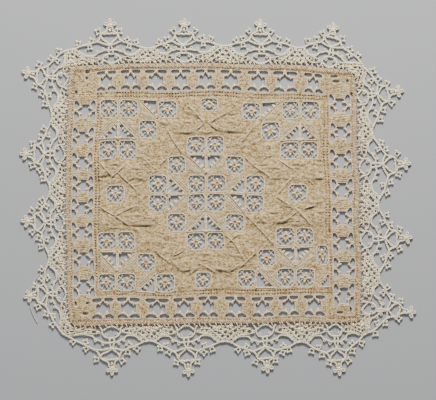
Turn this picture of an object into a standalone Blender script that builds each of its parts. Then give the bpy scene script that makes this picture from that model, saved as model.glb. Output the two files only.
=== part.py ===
"""A lace square: a cutwork linen cloth with a pointed lace edging sewn round its hem.

Two pieces lie flat on a surface. The linen has a folded hem, a ladder border, a stitched band
and a field with cut squares, each filled by a needle-made rosette. The edging is one long strip
of bobbin lace in sixteen points. Both are drawn flat from small charts, triangulated with their
gaps left open, and extruded up from the surface.

Metres, +Z up. X runs along the top edge, Y from the bottom edge to the top edge. The origin is
the centre of the whole piece at the surface it lies on.
"""

import math

import bmesh
import bpy
import numpy as np
from mathutils.geometry import delaunay_2d_cdt

MM = 0.001

# Thicknesses, in millimetres, as are all sizes below
LINEN_THICK = 1.3
HEM_THICK = 1.8
RIB_RISE = 0.6
EDGING_THICK = 1.2
SEWN_GAP = 0.3

# Depths of the linen's hem and ladder border, measured inwards from its outer edge
HEM_DEPTH = 3.5
LADDER_DEPTH = 14.7
# The hem's fold stands up to a line this far inside it
HEM_STEP = 0.7
HEM_FOOT = 0.1
LEAST_ROUND = 0.8

# The linen's outer corners: how far each is rounded, at (right, top) and so on
CORNER_ROUND = {(1, 1): 10.0, (-1, 1): 3.5, (-1, -1): 5.0, (1, -1): 5.0}

# Gaps of the ladder border: centre along the side and width
TOP_GAPS = [
    (-72.3, 7.8), (-56.6, 8.8), (-40.2, 9.4), (-24.0, 8.6), (-8.0, 8.3),
    (8.6, 9.4), (26.0, 9.3), (43.8, 11.0), (61.9, 7.8),
]
BOTTOM_GAPS = [
    (-74.8, 9.5), (-58.0, 10.2), (-39.4, 11.4), (-22.1, 9.1), (-6.2, 8.5),
    (11.4, 8.9), (29.1, 9.6), (45.8, 8.8), (62.8, 8.9),
]
LEFT_GAPS = [
    (56.7, 8.5), (39.8, 8.0), (22.8, 8.7), (8.4, 8.3),
    (-6.7, 8.6), (-21.9, 7.8), (-39.8, 9.5), (-57.5, 10.4),
]
RIGHT_GAPS = [
    (60.5, 9.2), (42.7, 8.2), (24.3, 10.0), (5.2, 10.0),
    (-12.6, 9.1), (-29.4, 9.1), (-45.3, 9.0), (-63.2, 10.6),
]
# Right half of one ladder gap: along it in half widths, across it in shares of the ladder
LADDER_GAP = [(0.0, 0.06), (0.95, 0.27), (1.0, 0.5), (0.95, 0.73), (0.0, 0.94)]

# The cut squares sit on a chart of cells round each motif's centre
SQUARE_HALF = 5.6
# Rosettes and cut wings of a whole motif, by column and row of their cell. Column 0 is the
# first to the right of the centre and -1 the first to the left; rows count upwards alike.
ROSETTE_CELLS = [
    (-1, -1), (0, -1), (-1, 0), (0, 0),
    (-1, 2), (0, 2), (-1, -3), (0, -3), (2, -1), (2, 0), (-3, -1), (-3, 0),
    (1, 1), (-2, 1), (1, -2), (-2, -2),
]
WING_CELLS = [(-1, 1), (0, 1), (-1, -2), (0, -2), (1, -1), (1, 0), (-2, -1), (-2, 0)]
# Where each motif is centred, its cell, and the columns and rows that the border leaves showing
MOTIFS = [
    {"centre": (-7.9, 2.8), "cell": (12.6, 12.5), "columns": (-3, 2), "rows": (-3, 2)},
    {"centre": (-64.9, 64.3), "cell": (12.7, 13.3), "columns": (-1, 2), "rows": (-3, -1)},
    {"centre": (53.0, 62.9), "cell": (12.7, 13.0), "columns": (-3, 0), "rows": (-3, -1)},
    {"centre": (-66.0, -61.8), "cell": (12.7, 13.4), "columns": (-1, 2), "rows": (0, 2)},
    {"centre": (50.0, -58.6), "cell": (12.7, 13.3), "columns": (-3, 0), "rows": (0, 2)},
]
# Squares that stand alone: centre and half width and height
LONE_SQUARES = [
    (-67.1, 2.1, 5.5, 5.5), (51.5, 2.9, 5.7, 5.6), (-6.0, 60.0, 5.1, 4.0),
    (-9.6, -53.6, 4.9, 5.0), (67.6, -37.2, 3.7, 6.0),
]
# The last motif's right wing, which the border cuts narrow: its square corner and its size
NARROW_WING = {"x": 72.2, "y": -58.2, "wide": 8.0, "high": 11.6}
# One gap of a rosette, of four: in half widths of its square, pointing up
ROSETTE_GAP = [(-0.78, 0.92), (-0.38, 0.44), (0.0, 0.66), (0.38, 0.44), (0.78, 0.92)]
# One cut wing, in cells from the corner where its two straight edges meet, along both edges
WING_GAP = [
    (0.05, 0.06), (0.90, 0.06), (0.78, 0.16), (0.64, 0.13), (0.58, 0.34), (0.44, 0.33),
    (0.38, 0.54), (0.22, 0.55), (0.05, 0.86),
]

# Raised ribs stitched across the field: from x, y to x, y
RIBS = [
    (-19.5, 59.0, -9.4, 48.8), (7.8, 57.0, -6.0, 48.6), (-14.3, 44.7, -9.4, 48.8),
    (-6.0, 48.6, 0.0, 44.0), (-32.8, 44.4, -22.3, 28.4), (-47.6, 26.0, -39.7, 18.0),
    (-38.2, 21.5, -32.8, 27.0), (-41.6, 17.0, -48.2, 11.1), (-66.5, 17.5, -58.6, 9.1),
    (-58.6, 9.1, -54.1, 4.6), (-77.0, 23.5, -69.5, 14.5), (-69.5, 13.5, -61.5, 21.0),
    (-76.5, -6.3, -66.5, -11.7), (-66.5, -11.7, -57.3, -18.2), (-64.9, -10.6, -55.2, -5.7),
    (-39.6, -35.3, -32.5, -41.3), (-29.3, -37.0, -21.8, -33.3), (-12.6, -43.0, -1.9, -48.6),
    (18.2, -10.6, 25.7, -18.2), (25.7, -18.2, 36.1, -29.8), (5.4, -24.5, 10.6, -29.2),
    (10.6, -29.2, 16.4, -39.1), (7.2, -28.7, 12.4, -24.0), (14.6, -44.3, 24.5, -34.4),
    (17.9, 27.1, 26.0, 18.9), (26.0, 18.9, 34.5, 11.9), (14.8, 36.2, 23.4, 47.0),
    (40.0, 24.3, 48.1, 18.4), (48.1, 13.0, 38.4, 3.3), (37.9, 0.6, 48.8, -7.4),
    (56.2, -7.4, 62.7, -5.3), (49.4, -6.6, 61.7, -18.2), (43.1, -15.3, 51.8, -8.9),
    (57.9, 11.9, 61.1, 8.7),
]
# Soft creases across the plain fields: from x to x, at y
PUCKERS = [
    (-63.0, -47.4, 18.9), (-78.6, -66.0, 7.6), (-54.0, -36.0, -17.2), (-79.4, -61.0, -24.4),
    (-31.0, -19.0, 49.5), (-17.0, 1.0, 41.6), (9.0, 21.0, 51.0), (27.1, 42.4, 25.4),
    (52.0, 70.2, 16.2), (57.8, 72.2, -3.4), (33.0, 47.8, -20.6), (55.8, 71.9, -24.0),
    (-37.0, -23.0, -35.2), (-22.0, -8.0, -40.8), (-1.0, 9.8, -41.6), (12.8, 23.6, -31.2),
]
RIB_HALF = 0.9
PUCKER_HALF = 1.7
PUCKER_RISE = 0.35
RIB_STEP = 5.0
CLEAR_OF_GAPS = 0.8

# The edging's points, clockwise from the first on the top side: where each tip reaches, and
# the knot in the middle of the point, where its plaits cross
TIPS = [
    (-70.3, 116.2), (-22.1, 116.2), (27.6, 115.5), (75.2, 113.2),
    (120.4, 69.4), (126.0, 22.5), (126.9, -26.4), (128.4, -74.9),
    (79.0, -116.5), (31.5, -113.8), (-20.3, -116.1), (-69.6, -115.6),
    (-126.2, -65.1), (-127.9, -15.8), (-128.4, 28.7), (-127.1, 82.8),
]
KNOTS = [
    (-69.6, 98.8), (-22.2, 99.5), (27.6, 99.0), (73.2, 97.8),
    (103.2, 66.9), (107.3, 20.9), (108.4, -26.4), (110.3, -72.7),
    (76.6, -98.4), (31.1, -97.6), (-20.5, -97.8), (-68.8, -97.8),
    (-110.7, -62.8), (-112.5, -15.5), (-112.5, 28.3), (-110.7, 78.6),
]
# The valleys' outer edges. The first lies before the first tip, at the top left corner.
VALLEYS = [
    (-97.5, 96.6), (-45.8, 97.7), (3.3, 99.4), (51.7, 98.2),
    (94.9, 85.2), (100.9, 42.7), (105.0, -4.1), (105.3, -50.9),
    (96.5, -88.9), (54.0, -94.6), (4.4, -94.2), (-45.1, -93.8),
    (-102.0, -88.4), (-110.8, -39.2), (-110.2, 5.0), (-108.9, 52.5),
]
# How far out a valley's edge and a knot lie in the chart of a point, whose tip lies at 1
VALLEY_OUT = 0.39
KNOT_OUT = 0.45
# Right half of a point's outline: along it in half pitches and outwards from its foot.
# Each bump is a cluster of three small loops.
POINT_EDGE = [
    (0.82, 0.41), (0.78, 0.50), (0.70, 0.58), (0.61, 0.58), (0.55, 0.53),
    (0.51, 0.62), (0.43, 0.69), (0.36, 0.67), (0.30, 0.62),
    (0.30, 0.73), (0.24, 0.81), (0.15, 0.77), (0.19, 0.88), (0.13, 0.94), (0.05, 1.0),
]
# The four open gaps of a point, the first and last as right halves, the lobe on each side
TIP_GAP = [(0.0, 0.50), (0.13, 0.57), (0.19, 0.64), (0.12, 0.69), (0.0, 0.68)]
ARCH_GAP = [(0.0, 0.04), (0.14, 0.09), (0.21, 0.15), (0.16, 0.22), (0.0, 0.25)]
LOBE_GAP = [
    (0.12, 0.41), (0.20, 0.36), (0.36, 0.33), (0.50, 0.27), (0.64, 0.27),
    (0.72, 0.33), (0.70, 0.42), (0.52, 0.46), (0.26, 0.51),
]
# Distance between the points along the linen's edge and the edging's foot
FOOT_STEP = 6.0


def uneven(x, y):
    """The small wander of hand-drawn threads: a few slow waves along each axis."""
    dx = 0.35 * math.sin(0.13 * y + 0.7) + 0.25 * math.sin(0.21 * x + 0.11 * y)
    dy = 0.35 * math.sin(0.11 * x + 2.1) + 0.25 * math.sin(0.19 * y - 0.09 * x + 1.3)
    return x + dx, y + dy


def top_edge(x):
    """Height of the linen's top edge at x: a shallow arch."""
    return 87.4 - 0.000354 * (x + 21.5) ** 2


def bottom_edge(x):
    """Height of the linen's bottom edge at x: a slight slope."""
    return -82.0 + 0.0136 * x


def left_edge(y):
    """Place of the linen's left edge at height y: it bows outwards in the middle."""
    return -99.2 + 0.000385 * (y + 1.5) ** 2


def right_edge(y):
    """Place of the linen's right edge at height y: it leans outwards towards the bottom."""
    return 91.3 - 0.026 * (y + 1.5)


def corner(side_x, side_y, inset):
    """Where two edges meet at that depth inside the linen, found in a few rounds."""
    x, y = side_x * 90.0, side_y * 80.0
    for _ in range(6):
        x = right_edge(y) - inset if side_x > 0 else left_edge(y) + inset
        y = top_edge(x) - inset if side_y > 0 else bottom_edge(x) + inset
    return x, y


def on_side(side, along, inset):
    """A point at that depth inside one side of the linen, at a place along it."""
    if side == "top":
        return along, top_edge(along) - inset
    if side == "bottom":
        return along, bottom_edge(along) + inset
    if side == "left":
        return left_edge(along) + inset, along
    return right_edge(along) - inset, along


def frame_loop(inset, step):
    """The closed line at that depth inside the linen's edge, clockwise from the top left."""
    order = [("top", (-1, 1), (1, 1)), ("right", (1, 1), (1, -1)),
             ("bottom", (1, -1), (-1, -1)), ("left", (-1, -1), (-1, 1))]
    loop = []
    for side, first, last in order:
        axis = 0 if side in ("top", "bottom") else 1
        start, end = corner(*first, inset)[axis], corner(*last, inset)[axis]
        way = math.copysign(1, end - start)
        start += way * max(CORNER_ROUND[first] - inset, LEAST_ROUND)
        end -= way * max(CORNER_ROUND[last] - inset, LEAST_ROUND)
        count = max(2, round(abs(end - start) / step))
        loop += [on_side(side, start + (end - start) * i / count, inset) for i in range(count + 1)]
        here, there = loop[-1], corner(*last, inset)
        next_side = order[(order.index((side, first, last)) + 1) % 4]
        next_axis = 1 - axis
        next_way = math.copysign(1, corner(*next_side[2], inset)[next_axis] - there[next_axis])
        next_start = there[next_axis] + next_way * max(CORNER_ROUND[last] - inset, LEAST_ROUND)
        after = on_side(next_side[0], next_start, inset)
        # one point of the quadratic curve that rounds the corner off
        loop.append(tuple(0.25 * here[k] + 0.5 * there[k] + 0.25 * after[k] for k in range(2)))
    return loop


def mirrored(half):
    """A closed outline from its right half, which starts and may end on the axis, as points (x, y)."""
    return half + [(-x, y) for x, y in reversed(half) if x > 0]


def ladder_gaps():
    """The open gap between each two woven bars of the border."""
    gaps = []
    for side, rows in (("top", TOP_GAPS), ("bottom", BOTTOM_GAPS),
                       ("left", LEFT_GAPS), ("right", RIGHT_GAPS)):
        for along, width in rows:
            gaps.append([
                uneven(*on_side(side, along + u * width / 2, HEM_DEPTH + v * LADDER_DEPTH))
                for u, v in mirrored(LADDER_GAP)
            ])
    return gaps


def shows(motif, cell):
    """Whether the border leaves that cell of a motif in sight."""
    (first, last), (low, high) = motif["columns"], motif["rows"]
    return first <= cell[0] <= last and low <= cell[1] <= high


def squares():
    """Centre and half sizes of every cut square that holds a rosette."""
    found = []
    for motif in MOTIFS:
        (cx, cy), (wide, high) = motif["centre"], motif["cell"]
        for column, row in filter(lambda cell: shows(motif, cell), ROSETTE_CELLS):
            found.append((cx + (column + 0.5) * wide, cy + (row + 0.5) * high,
                          SQUARE_HALF, SQUARE_HALF))
    return found + LONE_SQUARES


def rosette_gaps():
    """Four gaps in each cut square, between its frame, its diagonal bars and its petals."""
    gaps = []
    for x, y, half_x, half_y in squares():
        for quarter in range(4):
            turn = quarter * math.pi / 2
            c, s = round(math.cos(turn)), round(math.sin(turn))
            gaps.append([
                uneven(x + half_x * (c * u - s * v), y + half_y * (s * u + c * v))
                for u, v in ROSETTE_GAP
            ])
    return gaps


def wing_gaps():
    """The toothed triangle cut beside each woven wing. Its square corner lies on the motif's axis."""
    gaps = []
    for motif in MOTIFS:
        (cx, cy), (wide, high) = motif["centre"], motif["cell"]
        for column, row in filter(lambda cell: shows(motif, cell), WING_CELLS):
            # the square corner is the cell's corner on the axis, at the side away from the centre
            right, up = (1 if column >= 0 else -1), (1 if row >= 0 else -1)
            upright = column in (-1, 0)
            corner_x = cx if upright else cx + 2 * right * wide
            corner_y = cy + 2 * up * high if upright else cy
            way_x, way_y = (right, -up) if upright else (-right, up)
            gaps.append([
                uneven(corner_x + way_x * u * wide, corner_y + way_y * v * high)
                for u, v in WING_GAP
            ])
    gaps.append([
        uneven(NARROW_WING["x"] - NARROW_WING["wide"] * u, NARROW_WING["y"] + NARROW_WING["high"] * v)
        for u, v in WING_GAP
    ])
    return gaps


def away_from(points, loops):
    """How far each point lies from the nearest line of the loops."""
    nearest = np.full(len(points), np.inf)
    for loop in loops:
        a = np.array(loop)
        b = np.roll(a, -1, axis=0)
        step = b - a
        rest = points[:, None, :] - a[None, :, :]
        share = np.clip((rest * step).sum(2) / (step * step).sum(1), 0, 1)
        off = np.linalg.norm(rest - share[..., None] * step, axis=2)
        nearest = np.minimum(nearest, off.min(axis=1))
    return nearest


def inside(points, loops):
    """True for each point that an odd number of loops surround."""
    crossings = np.zeros(len(points), int)
    for loop in loops:
        a = np.array(loop)
        b = np.roll(a, -1, axis=0)
        x, y = points[:, 0, None], points[:, 1, None]
        spans = (a[:, 1] > y) != (b[:, 1] > y)
        slope = (b[:, 0] - a[:, 0]) / np.where(b[:, 1] == a[:, 1], 1, b[:, 1] - a[:, 1])
        crossings += (spans & (x < a[:, 0] + (y - a[:, 1]) * slope)).sum(axis=1)
    return crossings % 2 == 1


def ridge_points(start, end, half_width, height):
    """Points (x, y, z) of a low ridge: a row on its crest and one on each side at its base."""
    points = []
    run = (end[0] - start[0], end[1] - start[1])
    length = math.hypot(*run)
    across = (-run[1] / length, run[0] / length)
    count = max(2, round(length / RIB_STEP))
    for i in range(count + 1):
        share = i / count
        x, y = start[0] + share * run[0], start[1] + share * run[1]
        rise = height * math.sin(math.pi * (0.12 + 0.76 * share))
        points.append((*uneven(x, y), LINEN_THICK + rise))
        for way in (-half_width, half_width):
            points.append((*uneven(x + way * across[0], y + way * across[1]), LINEN_THICK))
    return points


def relief_points():
    """The ribs and the puckers between them."""
    points = []
    for x0, y0, x1, y1 in RIBS:
        points += ridge_points((x0, y0), (x1, y1), RIB_HALF, RIB_RISE)
    for x0, x1, y in PUCKERS:
        points += ridge_points((x0, y), (x1, y), PUCKER_HALF, PUCKER_RISE)
    return points


def sheet(name, outlines, gaps, extra, base_height, material):
    """A sheet on the surface: its outlines less its gaps, triangulated and extruded up.

    outlines are closed loops (the second, if any, is the ring's inner edge) and extra holds
    inner points (x, y, z) with heights of their own. Every other point rises to base_height(x, y).
    """
    loops = outlines + gaps
    points, edges = [], []
    for loop in loops:
        first = len(points)
        points += loop
        edges += [(first + i, first + (i + 1) % len(loop)) for i in range(len(loop))]
    heights = [base_height(x, y) for x, y in points]
    points += [(x, y) for x, y, _ in extra]
    heights += [z for _, _, z in extra]
    flat, _, triangles, origin, _, _ = delaunay_2d_cdt(points, edges, [], 0, 1e-5)
    flat = np.array([tuple(v) for v in flat])
    heights = [heights[ids[0]] if ids else base_height(*flat[i]) for i, ids in enumerate(origin)]
    triangles = np.array(triangles)
    kept = triangles[inside(flat[triangles].mean(axis=1), loops)]

    solid = bmesh.new()
    corners = [solid.verts.new((x * MM, y * MM, 0.0)) for x, y in flat]
    solid.verts.ensure_lookup_table()
    floor = [solid.faces.new([corners[i] for i in face]) for face in kept]
    solid.verts.index_update()
    height_of = {v.index: z for v, z in zip(corners, heights)}
    index_at = {(v.co.x, v.co.y): v.index for v in corners}
    raised = bmesh.ops.extrude_face_region(solid, geom=floor, use_keep_orig=True)
    for vert in (g for g in raised["geom"] if isinstance(g, bmesh.types.BMVert)):
        vert.co.z = height_of[index_at[(vert.co.x, vert.co.y)]] * MM
    bmesh.ops.delete(solid, geom=[v for v in solid.verts if not v.link_faces], context="VERTS")
    bmesh.ops.recalc_face_normals(solid, faces=solid.faces)
    mesh = bpy.data.meshes.new(name)
    solid.to_mesh(mesh)
    solid.free()
    mesh.materials.append(material)
    made = bpy.data.objects.new(name, mesh)
    bpy.context.scene.collection.objects.link(made)


def cloth_material(name, colour, roughness):
    """A plain matt finish."""
    material = bpy.data.materials.new(name)
    material.use_nodes = True
    shader = material.node_tree.nodes["Principled BSDF"]
    shader.inputs["Base Color"].default_value = (*colour, 1.0)
    shader.inputs["Roughness"].default_value = roughness
    shader.inputs["Metallic"].default_value = 0.0
    return material


def linen():
    """The cutwork cloth with its hem, border, rosettes, wings and ribs."""
    outline = [uneven(*p) for p in frame_loop(0.0, FOOT_STEP)]
    gaps = ladder_gaps() + rosette_gaps() + wing_gaps()
    hem_fold = [uneven(*p) for p in frame_loop(HEM_DEPTH - HEM_STEP, FOOT_STEP)]
    hem_foot = [uneven(*p) for p in frame_loop(HEM_DEPTH - HEM_FOOT, FOOT_STEP)]
    extra = [(x, y, HEM_THICK) for x, y in hem_fold] + [(x, y, LINEN_THICK) for x, y in hem_foot]
    relief = relief_points()
    places = np.array([(x, y) for x, y, _ in relief])
    on_cloth = (away_from(places, gaps) > CLEAR_OF_GAPS) & ~inside(places, gaps)
    extra += [point for point, kept in zip(relief, on_cloth) if kept]
    edge = set(outline)

    def height(x, y):
        return HEM_THICK if (x, y) in edge else LINEN_THICK

    material = cloth_material("linen", (0.58, 0.43, 0.26), 0.9)
    sheet("linen", [outline], gaps, extra, height, material)
    return len(gaps)


def along_loop(loop):
    """Distance along a closed loop of points at each point, and its whole length last."""
    closed = np.array(loop + [loop[0]])
    steps = np.linalg.norm(np.diff(closed, axis=0), axis=1)
    return closed, np.concatenate([[0], np.cumsum(steps)])


def nearest_along(closed, distance, point):
    """Distance along the loop of the place nearest to a point."""
    step = np.diff(closed, axis=0)
    rest = np.array(point) - closed[:-1]
    share = np.clip((rest * step).sum(1) / (step * step).sum(1), 0, 1)
    off = np.linalg.norm(rest - share[:, None] * step, axis=1)
    i = int(off.argmin())
    return distance[i] + share[i] * (distance[i + 1] - distance[i])


def at_distance(closed, distance, s):
    """The point at that distance along the loop."""
    s = s % distance[-1]
    return np.array([np.interp(s, distance, closed[:, k]) for k in range(2)])


def point_map(index, closed, distance, feet):
    """A function from the chart of one lace point to its place.

    The chart's u runs along the hem, from -1 in one valley to 1 in the next, and v outwards from
    0 at the hem. The middle line bends from the hem through the knot to the tip at v = 1, and
    the sides run through the valleys, with a smooth blend between.
    """
    start, end = feet[index], feet[(index + 1) % len(feet)]
    whole = distance[-1]
    middle = nearest_along(closed, distance, KNOTS[index])
    before, after = (middle - start) % whole, (end - middle) % whole
    foot_middle = at_distance(closed, distance, middle)
    knot, tip = np.array(KNOTS[index]) - foot_middle, np.array(TIPS[index]) - foot_middle
    sides = []
    for valley, foot in ((VALLEYS[index], start), (VALLEYS[(index + 1) % len(VALLEYS)], end)):
        sides.append((np.array(valley) - at_distance(closed, distance, foot)) / VALLEY_OUT)

    def place(u, v):
        foot = at_distance(closed, distance, middle + u * (after if u > 0 else before))
        out = [np.interp(v, [0, KNOT_OUT, 1], [0, knot[k], tip[k]]) for k in range(2)]
        share = u * u * (3 - 2 * abs(u))
        return tuple(foot + (1 - share) * np.array(out) + share * v * sides[1 if u > 0 else 0])

    return place


def edging():
    """The strip of bobbin lace round the hem: sixteen points with their open gaps."""
    foot = [uneven(*p) for p in frame_loop(-SEWN_GAP, FOOT_STEP)]
    closed, distance = along_loop(foot)
    feet = [nearest_along(closed, distance, valley) for valley in VALLEYS]
    outline, gaps = [], []
    for index in range(len(TIPS)):
        place = point_map(index, closed, distance, feet)
        outline.append(place(-1.0, VALLEY_OUT))
        outline += [place(-u, v) for u, v in POINT_EDGE]
        outline += [place(u, v) for u, v in reversed(POINT_EDGE)]
        gaps.append([place(u, v) for u, v in mirrored(TIP_GAP)])
        gaps.append([place(u, v) for u, v in mirrored(ARCH_GAP)])
        for way in (-1, 1):
            gaps.append([place(way * u, v) for u, v in LOBE_GAP])
    material = cloth_material("edging", (0.73, 0.66, 0.52), 0.85)
    sheet("edging", [outline, foot], gaps, [], lambda x, y: EDGING_THICK, material)
    return len(gaps)


def main():
    for old in list(bpy.data.objects):
        bpy.data.objects.remove(old)
    print(f"{linen()} gaps in the linen and {edging()} in the edging")


main()
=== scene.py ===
# %% [markdown]
# # A lace square
# The real piece is a flat linen cloth about 19 cm wide. Its threads were cut away in squares and
# wedges, the cut edges were bound with thread, and small stars were needled into the squares. A
# strip of bobbin lace in sixteen points is sewn round its hem. It could be a flat card with its
# holes painted on, but then no light would pass through and no thread would stand up. So every
# opening, cord and plait here is real, and is worked out in arrays from charts, as lace is pinned
# on a card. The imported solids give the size.

# %% Load the frame
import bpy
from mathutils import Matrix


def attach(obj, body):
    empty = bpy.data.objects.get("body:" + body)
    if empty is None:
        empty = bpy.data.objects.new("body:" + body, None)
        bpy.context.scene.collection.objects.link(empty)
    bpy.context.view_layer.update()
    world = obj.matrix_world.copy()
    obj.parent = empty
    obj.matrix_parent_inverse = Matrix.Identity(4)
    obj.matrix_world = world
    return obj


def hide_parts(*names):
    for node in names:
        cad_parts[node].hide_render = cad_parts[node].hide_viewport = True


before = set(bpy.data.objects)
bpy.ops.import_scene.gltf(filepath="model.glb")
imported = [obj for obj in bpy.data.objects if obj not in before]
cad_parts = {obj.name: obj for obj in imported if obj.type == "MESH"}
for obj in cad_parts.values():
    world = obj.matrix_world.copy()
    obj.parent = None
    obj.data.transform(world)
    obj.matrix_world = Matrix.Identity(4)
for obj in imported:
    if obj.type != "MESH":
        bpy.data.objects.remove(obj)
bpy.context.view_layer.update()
print("solids to dress:", sorted(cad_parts))

# %% [markdown]
# ## Units and chance
# Lengths are written in millimetres, as a needleworker would measure them, and turned into
# Blender's metres only when a mesh is made. Metres would fill the charts with zeros, and scaling
# each object at the end would leave it scaled. No two stitches of handwork are alike, so many
# numbers below are drawn by chance. They come from one seeded source, so each run draws the same
# cloth.

# %% Imports, units and chance
import math

import bpy
import numpy as np
from mathutils import Vector

MM = 0.001
RANDOM = np.random.default_rng(1887)
TAU = 2 * math.pi
print("a millimetre is", MM, "of Blender's metres")

# %% [markdown]
# ## The linen's outline
# No edge of a hand-cut cloth is straight: here the top one is a shallow arch and the left one
# bows. The outline could be drawn as a square and bent by hand. A short formula for each edge does
# more, since it also gives the depth of any point inside it, which the hem, the border and the
# rows of stitches all need. `wander` then moves every point by a few slow waves, as drawn threads
# do.

# %% The linen's edges
HEM_DEPTH = 3.5
LADDER_DEPTH = 14.7
CORNER_ROUND = {(1, 1): 10.0, (-1, 1): 3.5, (-1, -1): 5.0, (1, -1): 5.0}
LEAST_ROUND = 0.8
OUTLINE_STEP = 1.6
# Each edge with its first and last corner, clockwise from the top left
EDGES = [("top", (-1, 1), (1, 1)), ("right", (1, 1), (1, -1)),
         ("bottom", (1, -1), (-1, -1)), ("left", (-1, -1), (-1, 1))]


def side_depths(x, y):
    """Depth of each point inside the top, right, bottom and left edges."""
    top = 87.4 - 0.000354 * (x + 21.5) ** 2 - y
    right = 91.3 - 0.026 * (y + 1.5) - x
    bottom = y + 82.0 - 0.0136 * x
    left = x + 99.2 - 0.000385 * (y + 1.5) ** 2
    return np.stack([top, right, bottom, left], axis=-1)


def run_axis(side):
    """0 where an edge runs along x, 1 where it runs along y."""
    return 0 if side in ("top", "bottom") else 1


def on_side(side, along, inset):
    """Points at a depth inside one edge: the other coordinate is moved by what the depth lacks."""
    along, inset = np.broadcast_arrays(np.asarray(along, float), np.asarray(inset, float))
    zero = np.zeros_like(along)
    if run_axis(side) == 0:
        row = side_depths(along, zero)[..., 0 if side == "top" else 2]
        return np.stack([along, row - inset if side == "top" else inset - row], axis=-1)
    row = side_depths(zero, along)[..., 1 if side == "right" else 3]
    return np.stack([row - inset if side == "right" else inset - row, along], axis=-1)


def wander(points):
    """Moves points by 0.35 and 0.25 mm sine waves that cross each other."""
    x, y = points[..., 0], points[..., 1]
    dx = 0.35 * np.sin(0.13 * y + 0.7) + 0.25 * np.sin(0.21 * x + 0.11 * y)
    dy = 0.35 * np.sin(0.11 * x + 2.1) + 0.25 * np.sin(0.19 * y - 0.09 * x + 1.3)
    moved = np.array(points, float)
    moved[..., 0] += dx
    moved[..., 1] += dy
    return moved


def corner(side_x, side_y, inset):
    """Where two edges meet at a depth, found in a few rounds of moving onto each."""
    place = np.array([side_x * 90.0, side_y * 80.0])
    for _ in range(6):
        place[0] = on_side("right" if side_x > 0 else "left", place[1], inset)[0]
        place[1] = on_side("top" if side_y > 0 else "bottom", place[0], inset)[1]
    return place


print("corners:", [corner(*last, 0.0).round(1).tolist() for _, _, last in EDGES])

# %% A closed line round the cloth


def frame_loop(inset, step):
    """The closed line at a depth inside the edges, clockwise from the top left, corners rounded."""
    rows = []
    for side, first, last in EDGES:
        axis = run_axis(side)
        start, end = corner(*first, inset)[axis], corner(*last, inset)[axis]
        way = math.copysign(1, end - start)
        start += way * max(CORNER_ROUND[first] - inset, LEAST_ROUND)
        end -= way * max(CORNER_ROUND[last] - inset, LEAST_ROUND)
        count = max(2, round(abs(end - start) / step))
        rows.append(on_side(side, np.linspace(start, end, count + 1), inset))
    loop = []
    for index, (_, _, last) in enumerate(EDGES):
        here, there = rows[index], rows[(index + 1) % 4]
        bend = corner(*last, inset)
        t = np.linspace(0, 1, 7)[1:-1, None]
        curve = (1 - t) ** 2 * here[-1] + 2 * t * (1 - t) * bend + t ** 2 * there[0]
        loop += [here, curve]
    return np.concatenate(loop)


outline = frame_loop(0.0, OUTLINE_STEP)
print("linen outline:", np.ptp(outline, axis=0).round(1), "mm in", len(outline), "points")

# %% [markdown]
# ## Where the cloth is cut
# Cutwork is planned by counting threads, so its openings sit on a grid of cells. Each motif is a
# cross of cells round its centre: four small squares in the middle, a pair above, below and at
# each side, one at each diagonal, and wedges between. The squares could be placed one by one, but
# a chart with a centre and a cell's size says the same in a few lines, and keeps the rows as even
# as counted threads do. The border hides what would fall outside it.

# %% The motifs' charts
SQUARE_HALF = 5.6
ROSETTE_CELLS = [
    (-1, -1), (0, -1), (-1, 0), (0, 0),
    (-1, 2), (0, 2), (-1, -3), (0, -3), (2, -1), (2, 0), (-3, -1), (-3, 0),
    (1, 1), (-2, 1), (1, -2), (-2, -2),
]
WING_CELLS = [(-1, 1), (0, 1), (-1, -2), (0, -2), (1, -1), (1, 0), (-2, -1), (-2, 0)]
MOTIFS = [
    {"centre": (-7.9, 2.8), "cell": (12.6, 12.5), "columns": (-3, 2), "rows": (-3, 2)},
    {"centre": (-64.9, 64.3), "cell": (12.7, 13.3), "columns": (-1, 2), "rows": (-3, -1)},
    {"centre": (53.0, 62.9), "cell": (12.7, 13.0), "columns": (-3, 0), "rows": (-3, -1)},
    {"centre": (-66.0, -61.8), "cell": (12.7, 13.4), "columns": (-1, 2), "rows": (0, 2)},
    {"centre": (50.0, -58.6), "cell": (12.7, 13.3), "columns": (-3, 0), "rows": (0, 2)},
]
LONE_SQUARES = [
    (-67.1, 2.1, 5.5, 5.5), (51.5, 2.9, 5.7, 5.6), (-6.0, 60.0, 5.1, 4.0),
    (-9.6, -53.6, 4.9, 5.0), (67.6, -37.2, 3.7, 6.0),
]
NARROW_WING = {"x": 72.2, "y": -58.2, "wide": 8.0, "high": 11.6}


def shows(motif, cell):
    """Whether the border leaves a cell of the motif in sight."""
    (first, last), (low, high) = motif["columns"], motif["rows"]
    return first <= cell[0] <= last and low <= cell[1] <= high


squares = list(LONE_SQUARES)
wings = []
for motif in MOTIFS:
    (cx, cy), (wide, high) = motif["centre"], motif["cell"]
    for column, row in (cell for cell in ROSETTE_CELLS if shows(motif, cell)):
        squares.append((cx + (column + 0.5) * wide, cy + (row + 0.5) * high,
                        SQUARE_HALF, SQUARE_HALF))
    for column, row in (cell for cell in WING_CELLS if shows(motif, cell)):
        right, up = (1 if column >= 0 else -1), (1 if row >= 0 else -1)
        upright = column in (-1, 0)
        place = (cx, cy + 2 * up * high) if upright else (cx + 2 * right * wide, cy)
        way = (right, -up) if upright else (-right, up)
        wings.append({"corner": place, "edges": (way[0] * wide, way[1] * high), "upright": upright})
wings.append({"corner": (NARROW_WING["x"], NARROW_WING["y"]), "upright": False,
              "edges": (-NARROW_WING["wide"], NARROW_WING["high"])})
print(len(squares), "cut squares and", len(wings), "cut wings")

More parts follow.
